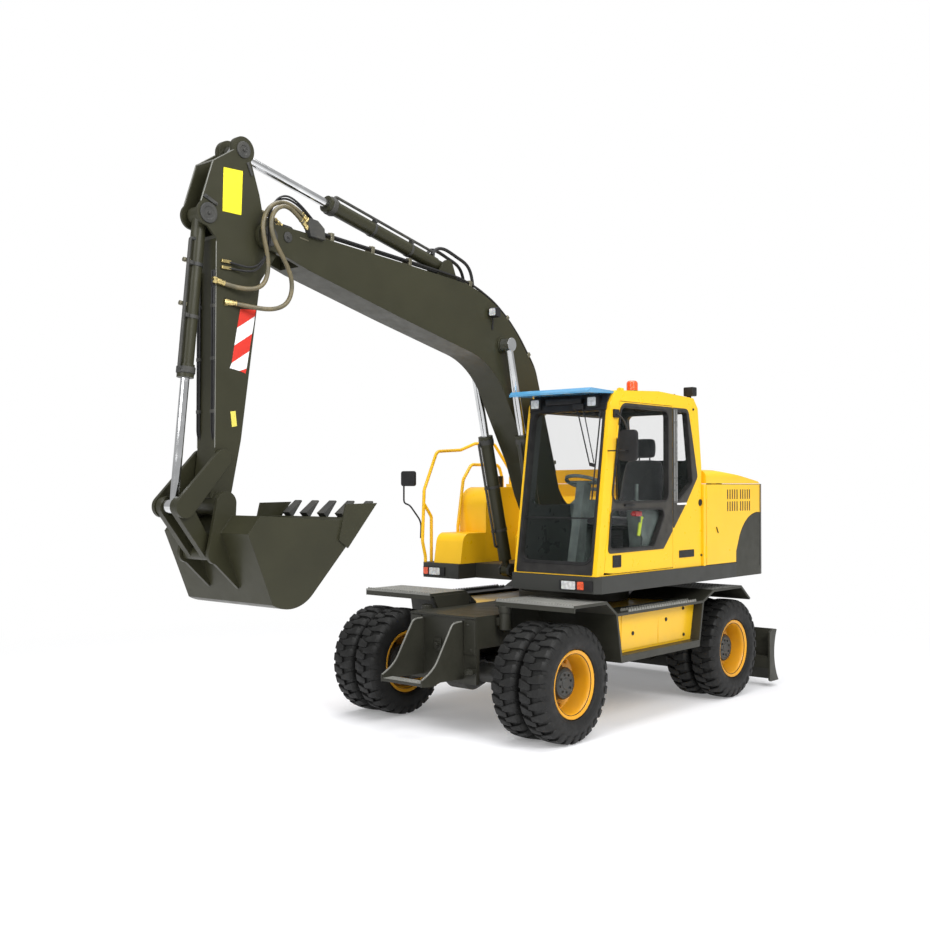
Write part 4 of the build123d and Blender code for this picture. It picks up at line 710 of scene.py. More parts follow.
# ---- Tyres and wheels ----
LUGS = 28                # on each shoulder of a tyre
LUG_FLARE = 0.03         # how much wider than its face a lug's foot is on each side, as a share of the pitch
LUG_CREST = 3            # how far a lug's edges fall away from its face
LUG_BREAK = 0.012        # and over how many radians
CLAMPS = (1012, 212, 6, 0.3)             # Y, radius of the circle, count and angle of the first
NUTS = (983, 155, 10, 0.0)
CAP_BOLTS = (1132, 77, 8, 0.2)
CARCASS = ((94, 256), (94, 294), (112, 301), (122, 318), (125, 322), (127, 331), (131, 352), (132, 358),
           (131.5, 372), (132, 376), (131, 384), (129, 408), (124, 436), (116, 456), (104, 474), (52, 480),
           (0, 481))     # half of a tyre's section as (from its middle, radius), as for the rim
RIM = ((107, 286), (104, 290.5), (97, 291), (91, 286), (88, 268), (84, 258), (78, 255.5), (-86, 255.5),
       (-91, 262), (-94, 284), (-99, 291), (-105, 290), (-107, 284), (-107, 246), (-146, 172), (-146, 112),
       (-132, 112), (-131.5, 166), (-82, 236), (-60, 241), (40, 241), (66, 246), (80, 250), (92, 258),
       (99, 268), (103, 280))
HUB = ((905.3, 150), (978, 170), (996, 170), (996, 146), (1004, 138), (1112, 137), (1127, 128),
       (1134, 108), (1130, 103), (1130, 50), (1134, 46), (1134, 20))
# from the tyre's middle, face radius, foot radius, half width and lead as shares of the pitch
LUG_SECTIONS = ((-14, 502, 474, 0.19, 0.20), (18, 502, 474, 0.24, 0.19), (56, 501, 474, 0.30, 0.10),
                (96, 497, 468, 0.335, 0.02), (116, 481, 452, 0.32, 0.0), (126.5, 456, 436, 0.27, 0.0),
                (131.5, 428, 424, 0.17, 0.0))
WHEELS = (("front_left", FRONT_AXLE_X, 1), ("front_right", FRONT_AXLE_X, -1),
          ("rear_left", REAR_AXLE_X, 1), ("rear_right", REAR_AXLE_X, -1))


def tyre(shape, axle_x, middle, turn):
    """A carcass and its block lugs, which lean the same way on both shoulders."""
    section = [(y, r) for y, r in CARCASS] + [(-y, r) for y, r in CARCASS[-2::-1]]
    shape.turned((axle_x, middle, AXLE_Z), (0, 1, 0), section, sides=84, loop=True)

    def spot(y, radius, angle):
        return (axle_x + radius * math.sin(angle), middle + y, AXLE_Z + radius * math.cos(angle))

    pitch = 2 * math.pi / LUGS
    for way in (1, -1):
        for k in range(LUGS):
            centre = turn + pitch * (k + (0.5 if way < 0 else 0.0))
            rings = []
            for y, face, foot, half, lead in LUG_SECTIONS:
                angle = centre + pitch * lead
                wide, narrow = pitch * (half + LUG_FLARE), pitch * half
                edge = face - LUG_CREST
                rings.append([spot(way * y, foot, angle - wide), spot(way * y, edge, angle - narrow),
                              spot(way * y, face, angle - narrow + LUG_BREAK),
                              spot(way * y, face, angle + narrow - LUG_BREAK),
                              spot(way * y, edge, angle + narrow), spot(way * y, foot, angle + wide)])
            shape.skin(rings)


def circle_of(axle_x, side, y, radius, count, start):
    """Points spaced evenly round an axle."""
    for k in range(count):
        angle = 2 * math.pi / count * k + start
        out = Vector((math.sin(angle), 0, math.cos(angle)))
        yield Vector((axle_x, side * y, AXLE_Z)) + out * radius


def wheel(corner, axle_x, side):
    """Rims, hub and tyres of one pair of twins."""
    twins = ((TWINS_MEET_Y + TWIN_HALF_GAP, 1, 0.0), (TWINS_MEET_Y - TWIN_HALF_GAP, -1, 0.11))
    axis = (0, side, 0)
    rims = Shape()
    for middle, way, _ in twins:
        rims.turned((axle_x, 0, AXLE_Z), axis, [(middle + way * y, r) for y, r in RIM], sides=72, loop=True)
    # the clamps that hold the outer rim
    for foot in circle_of(axle_x, side, *CLAMPS):
        rims.turned(foot, axis, [(0, 13), (22, 13), (26, 9)], sides=6)
    rims.done(f"rims_{corner}", "rim", f"wheel_{corner}", 30, replaces=(f"wheel_{corner}",))
    hub = Shape()
    hub.turned((axle_x, 0, AXLE_Z), axis, HUB, sides=48)
    for foot in circle_of(axle_x, side, *NUTS):
        hub.turned(foot, axis, [(0, 15), (22, 15), (24, 13), (24, 8), (36, 8), (37, 6)], sides=6)
    for foot in circle_of(axle_x, side, *CAP_BOLTS):
        hub.bolt(foot, axis, 9)
    hub.done(f"hub_{corner}", "hub", f"wheel_{corner}", 30)
    rubber = Shape()
    for middle, _, turn in twins:
        tyre(rubber, axle_x, side * middle, turn)
    rubber.done(f"treads_{corner}", "tyre", f"wheel_{corner}", 30, replaces=(f"tyres_{corner}",),
                weighted=False)


def wheels():
    for corner, axle_x, side in WHEELS:
        wheel(corner, axle_x, side)


# ---- Chassis ----
STEP_EDGE = ((2018, 982), (2092, 981), (2140, 968), (2166, 930), (2353, 642), (2430, 580), (2528, 533))
FRONT_GUARD_Z = 1164.5   # the flat tops of the mudguards
REAR_GUARD_Z = 1139.5
STEP_TOP_Z = 1046        # the side steps, and the saw teeth along them
TOOTH_PITCH = 43
TOOTH_TOP_Z = 1072


# Pale pipes along the step plates' edges: a painted highlight.
def step_edge_highlights():
    edges = Shape()
    for side, _ in SIDES:
        edges.pipe([(x, side * 236, z) for x, z in STEP_EDGE], 8, bend=45, sides=8)
    edges.done("step_edge_highlights", "edge", "chassis")


def studs(shape, x, y, z, pitch=34, size=9, height=4.0):
    """Raised diamonds of a tread plate, in rows that are set over by part of a pitch."""
    rows = int((x[1] - x[0]) // pitch)
    columns = int((y[1] - y[0]) // pitch)
    for i in range(rows):
        for j in range(columns):
            px = x[0] + pitch * (i + 0.5)
            py = y[0] + pitch * (j + 0.5 + (0.4 if i % 2 else 0.0))
            if py > y[1] - size:
                continue
            long, short = (size, size * 0.55) if (i + j) % 2 else (size * 0.55, size)
            base = [(px - long, py, z), (px, py - short, z), (px + long, py, z), (px, py + short, z)]
            top = [(px + (a - px) * 0.4, py + (b - py) * 0.4, z + height) for a, b, _ in base]
            shape.skin([base, top])


def mudguard_treads():
    """Tread plates on the mudguards; the front ones have a toothed front edge."""
    plates = Shape()
    for side, _ in SIDES:
        low, high = span(side, 400, 1240)
        studs(plates, (1262, 1728), (low, high), FRONT_GUARD_Z)
        studs(plates, (-1225, -650), (low, high), REAR_GUARD_Z)
        plates.box((1240, 1738), (low, high), (FRONT_GUARD_Z - 4, FRONT_GUARD_Z + 1), 1)
        plates.box((-1240, -640), (low, high), (REAR_GUARD_Z - 4, REAR_GUARD_Z + 1), 1)
        plates.box((1733, 1741.5), (low - 2, high + 2), (1148, 1166.5), 2)
        for k in range(27):
            y = low + 16 + k * 31
            plates.prism([(1727, y), (1741, y), (1741, y + 15), (1727, y + 15)], 1164, 1178, "z", 1.5, 1)
    plates.done("mudguard_treads", "top_lit_tread_plate", "chassis")


def step_rung():
    rung = Shape()
    rung.box((2403, 2533), (-229, 229), (478, 506), 5)
    studs(rung, (2412, 2530), (-222, 222), 505, 27, 8, 5)
    rung.done("step_rung", "top_lit_tread_plate", "chassis")


def step_teeth():
    saw = Shape()
    for side, _ in SIDES:
        for y in (span(side, 1238, 1246), span(side, 1152, 1160)):
            for k in range(28):
                x = -300 + k * TOOTH_PITCH
                saw.prism([(x, STEP_TOP_Z), (x + TOOTH_PITCH, STEP_TOP_Z), (x + 31, TOOTH_TOP_Z),
                           (x + 12, TOOTH_TOP_Z)], *y)
    saw.done("step_teeth", "edge", "chassis")


def nose_fittings():
    """Cover and plates on the nose, and the brackets and drums over the front axle."""
    nose = Shape()
    nose.drum((1996, -53, 757), (2018, -53, 757), 44, 4)
    nose.drum((2016, -53, 757), (2046, -53, 757), 22, 4)
    nose.box((2000, 2014), (-95, -11), (700, 812), 4)
    nose.box((2000, 2010), (-390, 390), (1012, 1029), 3)
    nose.box((1996, 2012), (255, 385), (700, 1005), 6)
    nose.box((1996, 2012), (-385, -255), (700, 1005), 6)
    for y, z in ((300, 960), (340, 740), (-324, 897), (-300, 740)):
        nose.bolt((2011, y, z), (1, 0, 0), 12)
    nose.box((1640, 1740), (398, 470), (935, 1005), 8)
    nose.drum((1700, 470, 900), (1700, 470, 1060), 52, 6)
    nose.drum((1700, 470, 1052), (1700, 470, 1112), 58, 5)
    nose.drum((1700, -470, 900), (1700, -470, 1060), 52, 6)
    nose.box((1640, 1740), (-470, -398), (935, 1005), 8)
    nose.done("nose_fittings", "charcoal", "chassis")


def nose_latch():
    latch = Shape()
    latch.box((2004, 2022), (120, 152), (825, 860), 3)
    latch.pipe([(2012, 140, 860), (2014, 175, 905), (2014, 200, 950)], 5, 20)
    latch.drum((2004, 200, 950), (2022, 200, 950), 12, 2)
    latch.done("nose_latch", "silver", "chassis")


def tool_box_doors():
    boxes = Shape()
    for side, _ in SIDES:
        for first, foot, last in ((-250, 258, 258), (272, 892, 880)):
            outline = [(first, 690), (foot, 690), (last, 1005), (first - 18, 1005)]
            boxes.prism(plain(outline, 14, 4), *span(side, 1148, 1155), chamfer=2)
    boxes.done("tool_box_doors", "yellow", "chassis")
    bolts = Shape()
    for side, _ in SIDES:
        for x, z in ((-196, 985), (-205, 730)):
            bolts.bolt((x, side * 1155, z), (0, side, 0), 14)
        for x, z in ((120, 905), (700, 830)):
            bolts.drum((x, side * 1153, z), (x, side * 1163, z), 19, 3)
    bolts.done("tool_box_bolts", "black", "chassis")


# ---- Cab: side windows and door ----
UPPER_WINDOW = (((1150, 2030), (195, 2030), (195, 2880), (1000, 2880)), 75)      # outline, corner radius
LOWER_WINDOW = (((1195, 1612), (455, 1612), (225, 1960), (1155, 1960)), 60)
QUARTER_WINDOW = (((60, 2885), (-150, 2885), (-255, 2200), (60, 2000)), 45)
RIGHT_WINDOW = (((1010, 2860), (-270, 2860), (-330, 1990), (1145, 1990)), 70)
DOOR_FRAME = ((1214, 1577), (1006, 2916), (118, 2916), (118, 1746), (284, 1584))
QUARTER_FRAME = ((108, 2916), (-180, 2916), (-262, 2627), (-357, 2258), (-133, 1999), (108, 1757))


def opening(window, depth):
    """A window's outline, this far inside its edge."""
    points, radius = window
    return plain(inset(points, depth), max(radius - depth, 8), 6)


def door_surround():
    door = Shape()
    frame_outline = plain(DOOR_FRAME, [40, 110, 12, 12, 30], 6)
    door.panel([frame_outline, opening(UPPER_WINDOW, 6), opening(LOWER_WINDOW, 6)], 4,
               side_plane(CAB_LEFT_Y + 2))
    door.done("door_surround", "door_frame", "cab_door")


def quarter_surround():
    quarter = Shape()
    quarter.panel([plain(QUARTER_FRAME, [12, 70, 60, 60, 60, 12], 6), opening(QUARTER_WINDOW, 6)], 4,
                  side_plane(CAB_LEFT_Y + 2))
    quarter.done("quarter_surround", "door_frame", "upper")


def rubber_round(shape, window):
    """The seal outside a left window's glass, and the deeper one that the glass sits in."""
    shape.panel([opening(window, -12), opening(window, 8)], 5, side_plane(CAB_LEFT_Y + 5), 2.5)
    shape.panel([opening(window, 0.5), opening(window, 7)], 22, side_plane(CAB_LEFT_Y - 20), 1)


def window_seals():
    door = Shape()
    for window in (UPPER_WINDOW, LOWER_WINDOW):
        rubber_round(door, window)
    door.done("door_seals", "seal", "cab_door")
    seals = Shape()
    rubber_round(seals, QUARTER_WINDOW)
    seals.panel([opening(RIGHT_WINDOW, -14), opening(RIGHT_WINDOW, 8)], 5, side_plane(CAB_RIGHT_Y - 5), 2.5)
    seals.done("window_seals", "seal", "upper")


def pillar():
    """The strip between the door and the quarter window, with two bright lines."""
    strip = Shape()
    strip.box((36, 106), (CAB_LEFT_Y + 4, CAB_LEFT_Y + 13), (2012, 2905), 4)
    strip.done("pillar_strip", "pillar", "upper")
    lines = Shape()
    for x in (50, 92):
        lines.box((x - 3, x + 3), (CAB_LEFT_Y + 12, CAB_LEFT_Y + 15), (2030, 2890), 1.2, 1)
    lines.done("pillar_lines", "silver", "upper")


def door_fittings():
    """Grille and handle of the door."""
    fittings = Shape()
    fittings.prism(plain([(1004, 1453), (1138, 1453), (1136, 1560), (1002, 1560)], 8, 3),
                   CAB_LEFT_Y + 1, CAB_LEFT_Y + 7, chamfer=2)
    for k in range(6):
        z = 1464 + 16 * k
        fittings.box((1014, 1126), (CAB_LEFT_Y + 6, CAB_LEFT_Y + 9), (z, z + 7), 1, 1)
    fittings.box((800, 960), (CAB_LEFT_Y + 5, CAB_LEFT_Y + 26), (1990, 2012), 6)
    fittings.done("door_fittings", "black", "cab_door")


def cab_details():
    """Catch, vent, bolts, mirror foot and cable on the cab's left side."""
    details = Shape()
    catch = [(0, 34), (5, 34), (7, 30), (7, 22), (4, 20)]
    details.turned((-410, CAB_LEFT_Y - 1, 2007), (0, 1, 0), catch, 28)
    details.prism(rounded((-286, -3), (1484, 1555), 8), CAB_LEFT_Y + 0.5, CAB_LEFT_Y + 4, chamfer=1)
    details.bolt((-425, CAB_LEFT_Y, 1492), (0, 1, 0), 11)
    details.bolt((-279, CAB_LEFT_Y, 2916), (0, 1, 0), 11)
    details.box((1052, 1128), (CAB_LEFT_Y, CAB_LEFT_Y + 24), (2775, 2850), 6)
    details.pipe([(700, 1247, 1640), (700, 1260, 1700), (735, 1262, 1730)], 4, 15, 6)
    details.done("cab_details", "black", "upper")


def quarter_latch():
    handle = Shape()
    handle.box((-130, 44), (CAB_LEFT_Y + 7, CAB_LEFT_Y + 13), (1990, 2010), 3)
    handle.done("quarter_latch", "sign_white", "upper")


# ---- Cab: front, lamps and roof ----
WINDSCREEN = [(385, up_front(1500)), (1165, up_front(1500)), (1165, up_front(2850)), (385, up_front(2850))]
SURROUND = [(350, up_front(1394)), (1184, up_front(1394)), (1184, up_front(2895)), (350, up_front(2895))]
PANE_SPLIT = up_front(1890)              # where the upper pane meets the lower one
WORK_LAMPS_Y = (430, 1060)
HEAD_LAMP_Z = (1266, 1338)
TURN_LAMP_Z = (1268, 1338)


def windscreen_surround():
    screen = Shape()
    screen.panel([plain(SURROUND, 14, 4), plain(inset(WINDSCREEN, 6), 84, 7)], 5, front_plane(3))
    screen.panel([plain(inset(WINDSCREEN, 0.5), 89, 7), plain(inset(WINDSCREEN, 8), 82, 7)], 24,
                 front_plane(-22), 1)
    screen.done("windscreen_surround", "seal", "upper")


def windscreen_rubber():
    band = Shape()
    band.panel([plain(inset(WINDSCREEN, -20), 108, 7), plain(inset(WINDSCREEN, 4), 86, 7)], 6,
               front_plane(9), 3)
    low, high = PANE_SPLIT - 7, PANE_SPLIT + 7
    band.panel([[(392, low), (1158, low), (1158, high), (392, high)]], 6, front_plane(-20), 2)
    band.done("windscreen_rubber", "black", "upper")


def roof_header():
    """The dark header over the windscreen, with the lamps' housings and the visor's three arms."""
    header = Shape()
    header.prism([(1178, 2842), (1190, 2846), (1180, 2905), (1108, 3004), (1094, 2996), (1158, 2904)],
                 352, 1196, chamfer=4)
    for y in WORK_LAMPS_Y:
        header.prism(rounded((y - 62, y + 62), (2866, 2974), 14, 4), 1168, 1206, "x", 3)
    header.box((1120, 1200), (540, 940), (2905, 2960), 12)
    for y in (520, 745, 960):
        header.prism([(1110, 2985), (1400, 2990), (1400, 2998), (1100, 3002)], y - 8, y + 8, chamfer=2)
    header.done("roof_header", "black", "upper")


def lamps():
    """Clear faces of the work and head lamps, and the amber ones beside them."""
    faces = Shape()
    for y in WORK_LAMPS_Y:
        faces.prism(rounded((y - 44, y + 44), (2882, 2960), 12, 4), 1200, 1213, "x", 3)
    faces.prism(rounded((868, 1014), HEAD_LAMP_Z, 8), 1396, 1405, "x", 2)
    faces.prism(rounded((-1102, -960), HEAD_LAMP_Z, 8), 981, 990, "x", 2)
    faces.done("lamp_faces", "lamp_clear", "upper")
    amber = Shape()
    amber.prism(rounded((1036, 1102), TURN_LAMP_Z, 10), 1396, 1404, "x", 2)
    amber.prism(rounded((-1184, -1122), TURN_LAMP_Z, 10), 981, 989, "x", 2)
    amber.done("turn_lamps", "amber", "upper")


def wiper():
    arm = Shape()
    arm.pipe([on_front(880, 2880, 22), on_front(1082, 2345, 26)], 6, sides=8)
    arm.pipe([on_front(948, 2880, 22), on_front(1120, 2375, 26)], 5, sides=8)
    arm.box((1190, 1222), (860, 975), (2855, 2905), 6)
    arm.pipe([on_front(1140, 2830), on_front(1122, 2050)], 7, sides=6)
    arm.drum(on_front(1075, 2360, 18), on_front(1128, 2350, 18), 16, 3, 12)
    arm.done("wiper", "black", "upper")


def mirrors():
    """Both mirrors with their tubes: the left one on the cab, the right one on a post."""
    mirror = Shape()
    mirror.pipe([(1205, 1227, 2480), (1205, 1395, 2480), (1146, 1395, 2480)], 6, 30, 8)
    mirror.pipe([(1095, 1240, 2812), (1110, 1330, 2760), (1128, 1395, 2640)], 8, 40, 8)
    mirror.prism(rounded((1302, 1484), (2387, 2663), 40, 6), 1112, 1146, "x", 8)
    mirror.pipe([(984, -1226, 1630), (976, -1226, 1800), (1083, -1290, 1975), (1083, -1372, 1990),
                 (1083, -1372, 2190)], 9, 60, 10)
    mirror.prism(rounded((-1408, -1212), (2167, 2323), 26, 5), 1064, 1092, "x", 6)
    mirror.done("mirror_shells", "black", "upper", replaces=("mirrors",))


def roof_fittings():
    """Brackets along the roof, and on it the rear lamp, the beacon's foot and a plug."""
    roof = Shape()
    for x in (426, -166):
        roof.box((x - 46, x + 46), (806, 894), (3034, 3064), 6)
        roof.box((x - 12, x + 12), (816, 884), (3060, 3100), 6)
        roof.drum((x - 22, 850, 3084), (x + 22, 850, 3084), 22, 3, 14)
    roof.box((-352, -300), (1122, 1188), (2985, 3030), 5)
    roof.done("roof_brackets", "yellow", "upper")
    lamp = Shape()
    lamp.box((-330, -322), (1130, 1180), (3020, 3062), 2)
    lamp.box((-398, -318), (1096, 1206), (3052, 3142), 12)
    lamp.turned((220, 850, 3036), (0, 0, 1), [(0, 66), (14, 66), (20, 60), (50, 58), (56, 52)], 32)
    lamp.drum((-110, 1120, 3030), (-110, 1120, 3062), 10, 2, 12)
    lamp.done("rear_roof_lamp", "black", "upper")


# ---- Rear body ----
LOUVRE_PITCH = 50
LOUVRES_IN_GROUP = 5


def body_lines():
    """The seam of the rear corner and the latch of the side door."""
    body = Shape()
    body.box((-1642, -1634), (1246, 1249), (1330, 2190), 1, 1)
    body.pipe([(-700, 1249, 1760), (-712, 1256, 1720), (-735, 1250, 1700)], 5, 12, 6)
    body.done("body_lines", "black", "upper")


def louvres():
    """Black inserts that fill the side doors' slots to just under the paint."""
    for side, tag in SIDES:
        louvre = Shape()
        y = span(side, 1236, 1246.8)
        for first in (-927, -1203):
            for bottom in (1912, 2034):
                for k in range(LOUVRES_IN_GROUP):
                    x = first - LOUVRE_PITCH * k
                    louvre.box((x - 23.5, x - 0.5), y, (bottom + 0.5, bottom + 99.5), 2, 1)
        louvre.done(f"louvres_{tag}", "black", f"side_door_{tag}")


# ---- Seat and controls ----
SEAT_HALF = 238          # half of the cushions' width
HEADREST_HALF = 128
PAD_SECTION = ((-1, -0.55), (-0.72, -1), (0.72, -1), (1, -0.55), (1, 0.55), (0.66, 1.0), (0, 0.82),
               (-0.66, 1.0), (-1, 0.55))
SEAT_STATIONS = ((35, 1822, 0.86, 0.7, 0, 1), (60, 1822, 0.97, 0.95, 0, 1), (250, 1826, 1.0, 1.0, 0, 1),
                 (430, 1834, 1.0, 1.05, 0, 1), (570, 1842, 0.98, 0.95, 0, 1), (602, 1838, 0.86, 0.6, 0, 1))
BACK_STATIONS = ((-2, 1850, 0.86, 0.6, 0.97, 0.2), (-8, 1880, 0.97, 0.9, 0.97, 0.2),
                 (-55, 2080, 1.0, 1.0, 0.97, 0.2), (-100, 2300, 0.96, 1.0, 0.98, 0.2),
                 (-112, 2400, 0.84, 0.9, 0.99, 0.15), (-116, 2424, 0.7, 0.6, 1, 0.1))
HEAD_STATIONS = ((-112, 2446, 0.8, 0.6, 1, 0.05), (-112, 2462, 0.96, 0.9, 1, 0.05),
                 (-116, 2540, 1.0, 1.0, 1, 0.05), (-118, 2618, 0.94, 0.9, 1, 0.05),
                 (-118, 2636, 0.78, 0.55, 1, 0.05))


def cushion(name, stations, half, thick):
    """A soft form through sections at (x, z, width share, thickness share, lean), crowned."""
    shape = Shape()
    rings = []
    for x, z, wide, deep, lean_x, lean_z in stations:
        w, d = half * wide, thick * deep / 2
        rings.append([(x + lean_x * v * d, SEAT_Y + u * w, z + lean_z * v * d) for u, v in PAD_SECTION])
    shape.skin(rings)
    mesh = bpy.data.meshes.new(name)
    shape.bm.to_mesh(mesh)
    shape.bm.free()
    mesh.materials.append(MAT["cloth"])
    mesh.shade_smooth()
    piece = bpy.data.objects.new(name, mesh)
    bpy.context.scene.collection.objects.link(piece)
    modifier = piece.modifiers.new("crown", "SUBSURF")
    modifier.levels = modifier.render_levels = 3
    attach(piece, "upper")
    return piece


def seat():
    """Three cushions on a frame with a bellows, in place of the solid seat."""
    base = cushion("seat_base", SEAT_STATIONS, SEAT_HALF, 100)
    cushion("seat_back", BACK_STATIONS, SEAT_HALF, 118)
    cushion("seat_headrest", HEAD_STATIONS, HEADREST_HALF, 84)
    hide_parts("seat")
    low, high = SEAT_Y - 200, SEAT_Y + 200
    shell = Shape()
    shell.box((70, 510), (SEAT_Y - 155, SEAT_Y + 155), (1437, 1768), 14)
    shell.prism([(-70, 1770), (560, 1772), (560, 1784), (-60, 1782)], low, high, chamfer=4)
    shell.prism([(-70, 1790), (-60, 1780), (-160, 2420), (-172, 2418)], low, high, chamfer=4)
    for y in (SEAT_Y + 60, SEAT_Y - 60):
        shell.drum((-122, y, 2400), (-122, y, 2462), 7, 1, 10)
    for k in range(6):
        z = 1500 + 40 * k
        shell.prism(rounded((62, 518), (z, z + 22), 10), SEAT_Y - 162, SEAT_Y + 162, chamfer=4)
    shell.done("seat_frame", "black", "upper")


def levers():
    """The red cover and the lime lever that show through the door's lower window."""
    cover = Shape()
    cover.box((560, 690), (1128, 1150), (1908, 1924), 5)
    cover.box((545, 650), (1112, 1166), (1892, 1942), 12)
    cover.done("red_cover", "red", "upper")
    lever = Shape()
    lever.pipe([(592, 1152, 1712), (570, 1152, 1800), (550, 1152, 1876)], 17, 30, 10)
    lever.drum((550, 1152, 1866), (547, 1152, 1890), 23, 6, 14)
    lever.done("lime_lever", "lime", "upper")


# ---- Boom ----
BOOM_TIP = (4100, 4040)                  # (X, Z) of the arm's pivot
BOOM_TOP_LINE = ((3600, 4166), (2706, 4101), (2206, 4061), (1900, 4036), (1660, 3976), (1420, 3877),
                 (1220, 3745), (1043, 3588), (806, 3312), (470, 2300))
BOOM_CLAMPS = (((3450, 4112), (-0.07, 1)), ((3000, 4077), (-0.07, 1)), ((2560, 4045), (-0.07, 1)),
               ((1780, 3962), (-0.35, 0.94)), ((1262, 3714), (-0.65, 0.76)), ((942, 3400), (-0.75, 0.66)),
               ((700, 2860), (-0.95, 0.32)), ((540, 2386), (-0.95, 0.32)))    # foot and the way it stands
CLAMP_SECTION = ((-18, -4), (18, -4), (18, 66), (-18, 66))                    # (along, away from the boom)


def boom_pipes():
    """Steel pipes along the boom's back, and the clamps that hold them in pairs."""
    pipes = Shape()
    for y in (-112, -66, 66, 112):
        pipes.pipe([(x, y, z) for x, z in BOOM_TOP_LINE], 11, 90, 8)
    pipes.done("boom_pipes", "black", "boom")
    clamps = Shape()
    for (x, z), (nx, nz) in BOOM_CLAMPS:
        corners = [(x + nz * u + nx * v, z - nx * u + nz * v) for u, v in CLAMP_SECTION]
        for y in (-89, 89):
            clamps.prism(corners, y - 42, y + 42, chamfer=4)
            clamps.bolt((x + nx * 64, y, z + nz * 64), (nx, 0, nz), 10)
    clamps.done("boom_pipe_clamps", "zinc", "boom")


def boom_fittings():
    """Hose blocks at the boom's tip, and caps on its pins."""
    block = Shape()
    outline = [(3570, 4090), (3722, 4098), (3748, 4180), (3736, 4240), (3650, 4232), (3580, 4180)]
    for side, _ in SIDES:
        block.prism(outline, *span(side, 130, 186), chamfer=6)
    for side, _ in SIDES:
        out = (0, side, 0)
        block.turned((1350, side * 172, 3478), out, [(-6, 58), (6, 58), (9, 54), (9, 20)], 32)
        x, z = BOOM_TIP
        block.turned((x, side * 149, z), out, [(0, 74), (9, 74), (12, 70), (12, 46), (8, 44), (8, 6)], 36)
        block.bolt((x + 24, side * 156, z + 8), out, 10)
        block.bolt((x - 24, side * 156, z - 8), out, 10)
        block.turned((3925, side * 149, 4062), out, [(0, 40), (8, 40), (10, 36), (10, 10)], 28)
        block.bolt((3925, side * 158, 4062), out, 12)
    block.done("boom_fittings", "cast", "boom")


def boom_marks():
    """A small bar on each side near the tip, and two bands under the pipes."""
    marks = Shape()
    bar = plain([(3718, 4062), (3806, 4075), (3804, 4086), (3716, 4073)], 5, 3)
    for side, _ in SIDES:
        marks.prism(bar, *span(side, 149, 154), chamfer=1)
    for x, z in ((3300, 4080), (2400, 4014)):
        marks.box((x - 36, x + 36), (-146, 146), (z + 6, z + 16), 3)
    marks.done("boom_marks", "zinc", "boom")


def boom_lamp():
    lamp = Shape()
    lamp.prism(plain([(1482, 3712), (1552, 3722), (1560, 3800), (1490, 3806)], 14, 4), 166, 250, chamfer=8)
    lamp.box((1504, 1540), (148, 172), (3736, 3780), 3)
    lamp.box((1480, 1500), (149, 158), (3610, 3660), 3)
    lamp.pipe([(1510, 160, 3735), (1490, 162, 3690), (1492, 158, 3650)], 6, 20, 6)
    lamp.done("boom_lamp", "black", "boom")
    face = Shape()
    face.prism(rounded((174, 242), (3728, 3794), 14, 4), 1552, 1563, "x", 3)
    face.done("boom_lamp_face", "lamp_clear", "boom")


# ---- Cylinders ----
# line runs in (X, Z) from the barrel's eye to the rod's, ys are the middles, barrel and rod are radii,
# and length is the barrel's, from its eye
Cylinder = namedtuple("Cylinder", "name body line ys barrel rod length")
ARM_CYLINDER = Cylinder("arm_cylinder", "arm_barrel", ((2020, 4120), (4310, 4650)), (0,), 60, 35, 1420)
BUCKET_CYLINDER = Cylinder("bucket_cylinder", "bucket_barrel", ((4620, 4130), (4830, 2030)), (0,),
                           52, 32, 1190)
BOOM_CYLINDERS = Cylinder("boom_cylinders", "boom_barrels", ((810, 1340), (1350, 3478)), (225, -225),
                          62, 38, 1350)
BANDS_AT = (0.30, 0.62)  # shares of a barrel's length where a band holds the pipe


def head_flange(cylinder, lip):
    """The head flange with its bolts, open round the rod, and the bands round the barrel."""
    shape = Shape()
    start, end = (Vector(p) for p in cylinder.line)
    way = (end - start).normalized()
    way = Vector((way.x, 0, way.y))
    first = way.orthogonal().normalized()
    second = way.cross(first)
    radius = cylinder.barrel
    head = [(0, radius), (2, radius + lip), (44, radius + lip), (48, radius + lip - 4), (48, radius - 6),
            (74, radius - 10), (78, radius - 16), (78, cylinder.rod + 3), (0, cylinder.rod + 3)]
    band = [(0, radius + 1), (1, radius + 5), (26, radius + 5), (27, radius + 1), (26, radius - 3),
            (1, radius - 3)]
    for y in cylinder.ys:
        x, z = along(cylinder.line, cylinder.length - 78)
        shape.turned((x, y, z), way, head, 32, loop=True)
        for k in range(8):
            angle = math.pi * (k + 0.5) / 4
            out = first * math.cos(angle) + second * math.sin(angle)
            shape.bolt(Vector((x, y, z)) + way * 47 + out * (radius + 5), way, 7)
        for share in BANDS_AT:
            x, z = along(cylinder.line, cylinder.length * share)
            shape.turned((x, y, z), way, band, 32, loop=True)
    shape.done(cylinder.name + "_flange", "cast", cylinder.body)


def barrel_pipe(cylinder, above, off, start):
    """The steel pipe along a barrel, `off` away from its line, above it (1) or below it (-1)."""
    pipe = Shape()
    last = cylinder.length - 60
    near = cylinder.barrel * 0.6
    for y in cylinder.ys:
        middle = y + (26 if y >= 0 else -26)
        points = []
        for distance, reach in ((start, near), (start, off), (last, off), (last, near)):
            x, z = along(cylinder.line, distance, reach * above)
            points.append((x, middle, z))
        pipe.pipe(points, 12, 34, 10)
        for share in BANDS_AT:
            x, z = along(cylinder.line, cylinder.length * share + 13, (cylinder.barrel + 8) * above)
            pipe.box((x - 15, x + 15), (middle - 24, middle + 24), (z - 15, z + 15), 4)
    pipe.done(cylinder.name + "_pipe", "cast", cylinder.body)


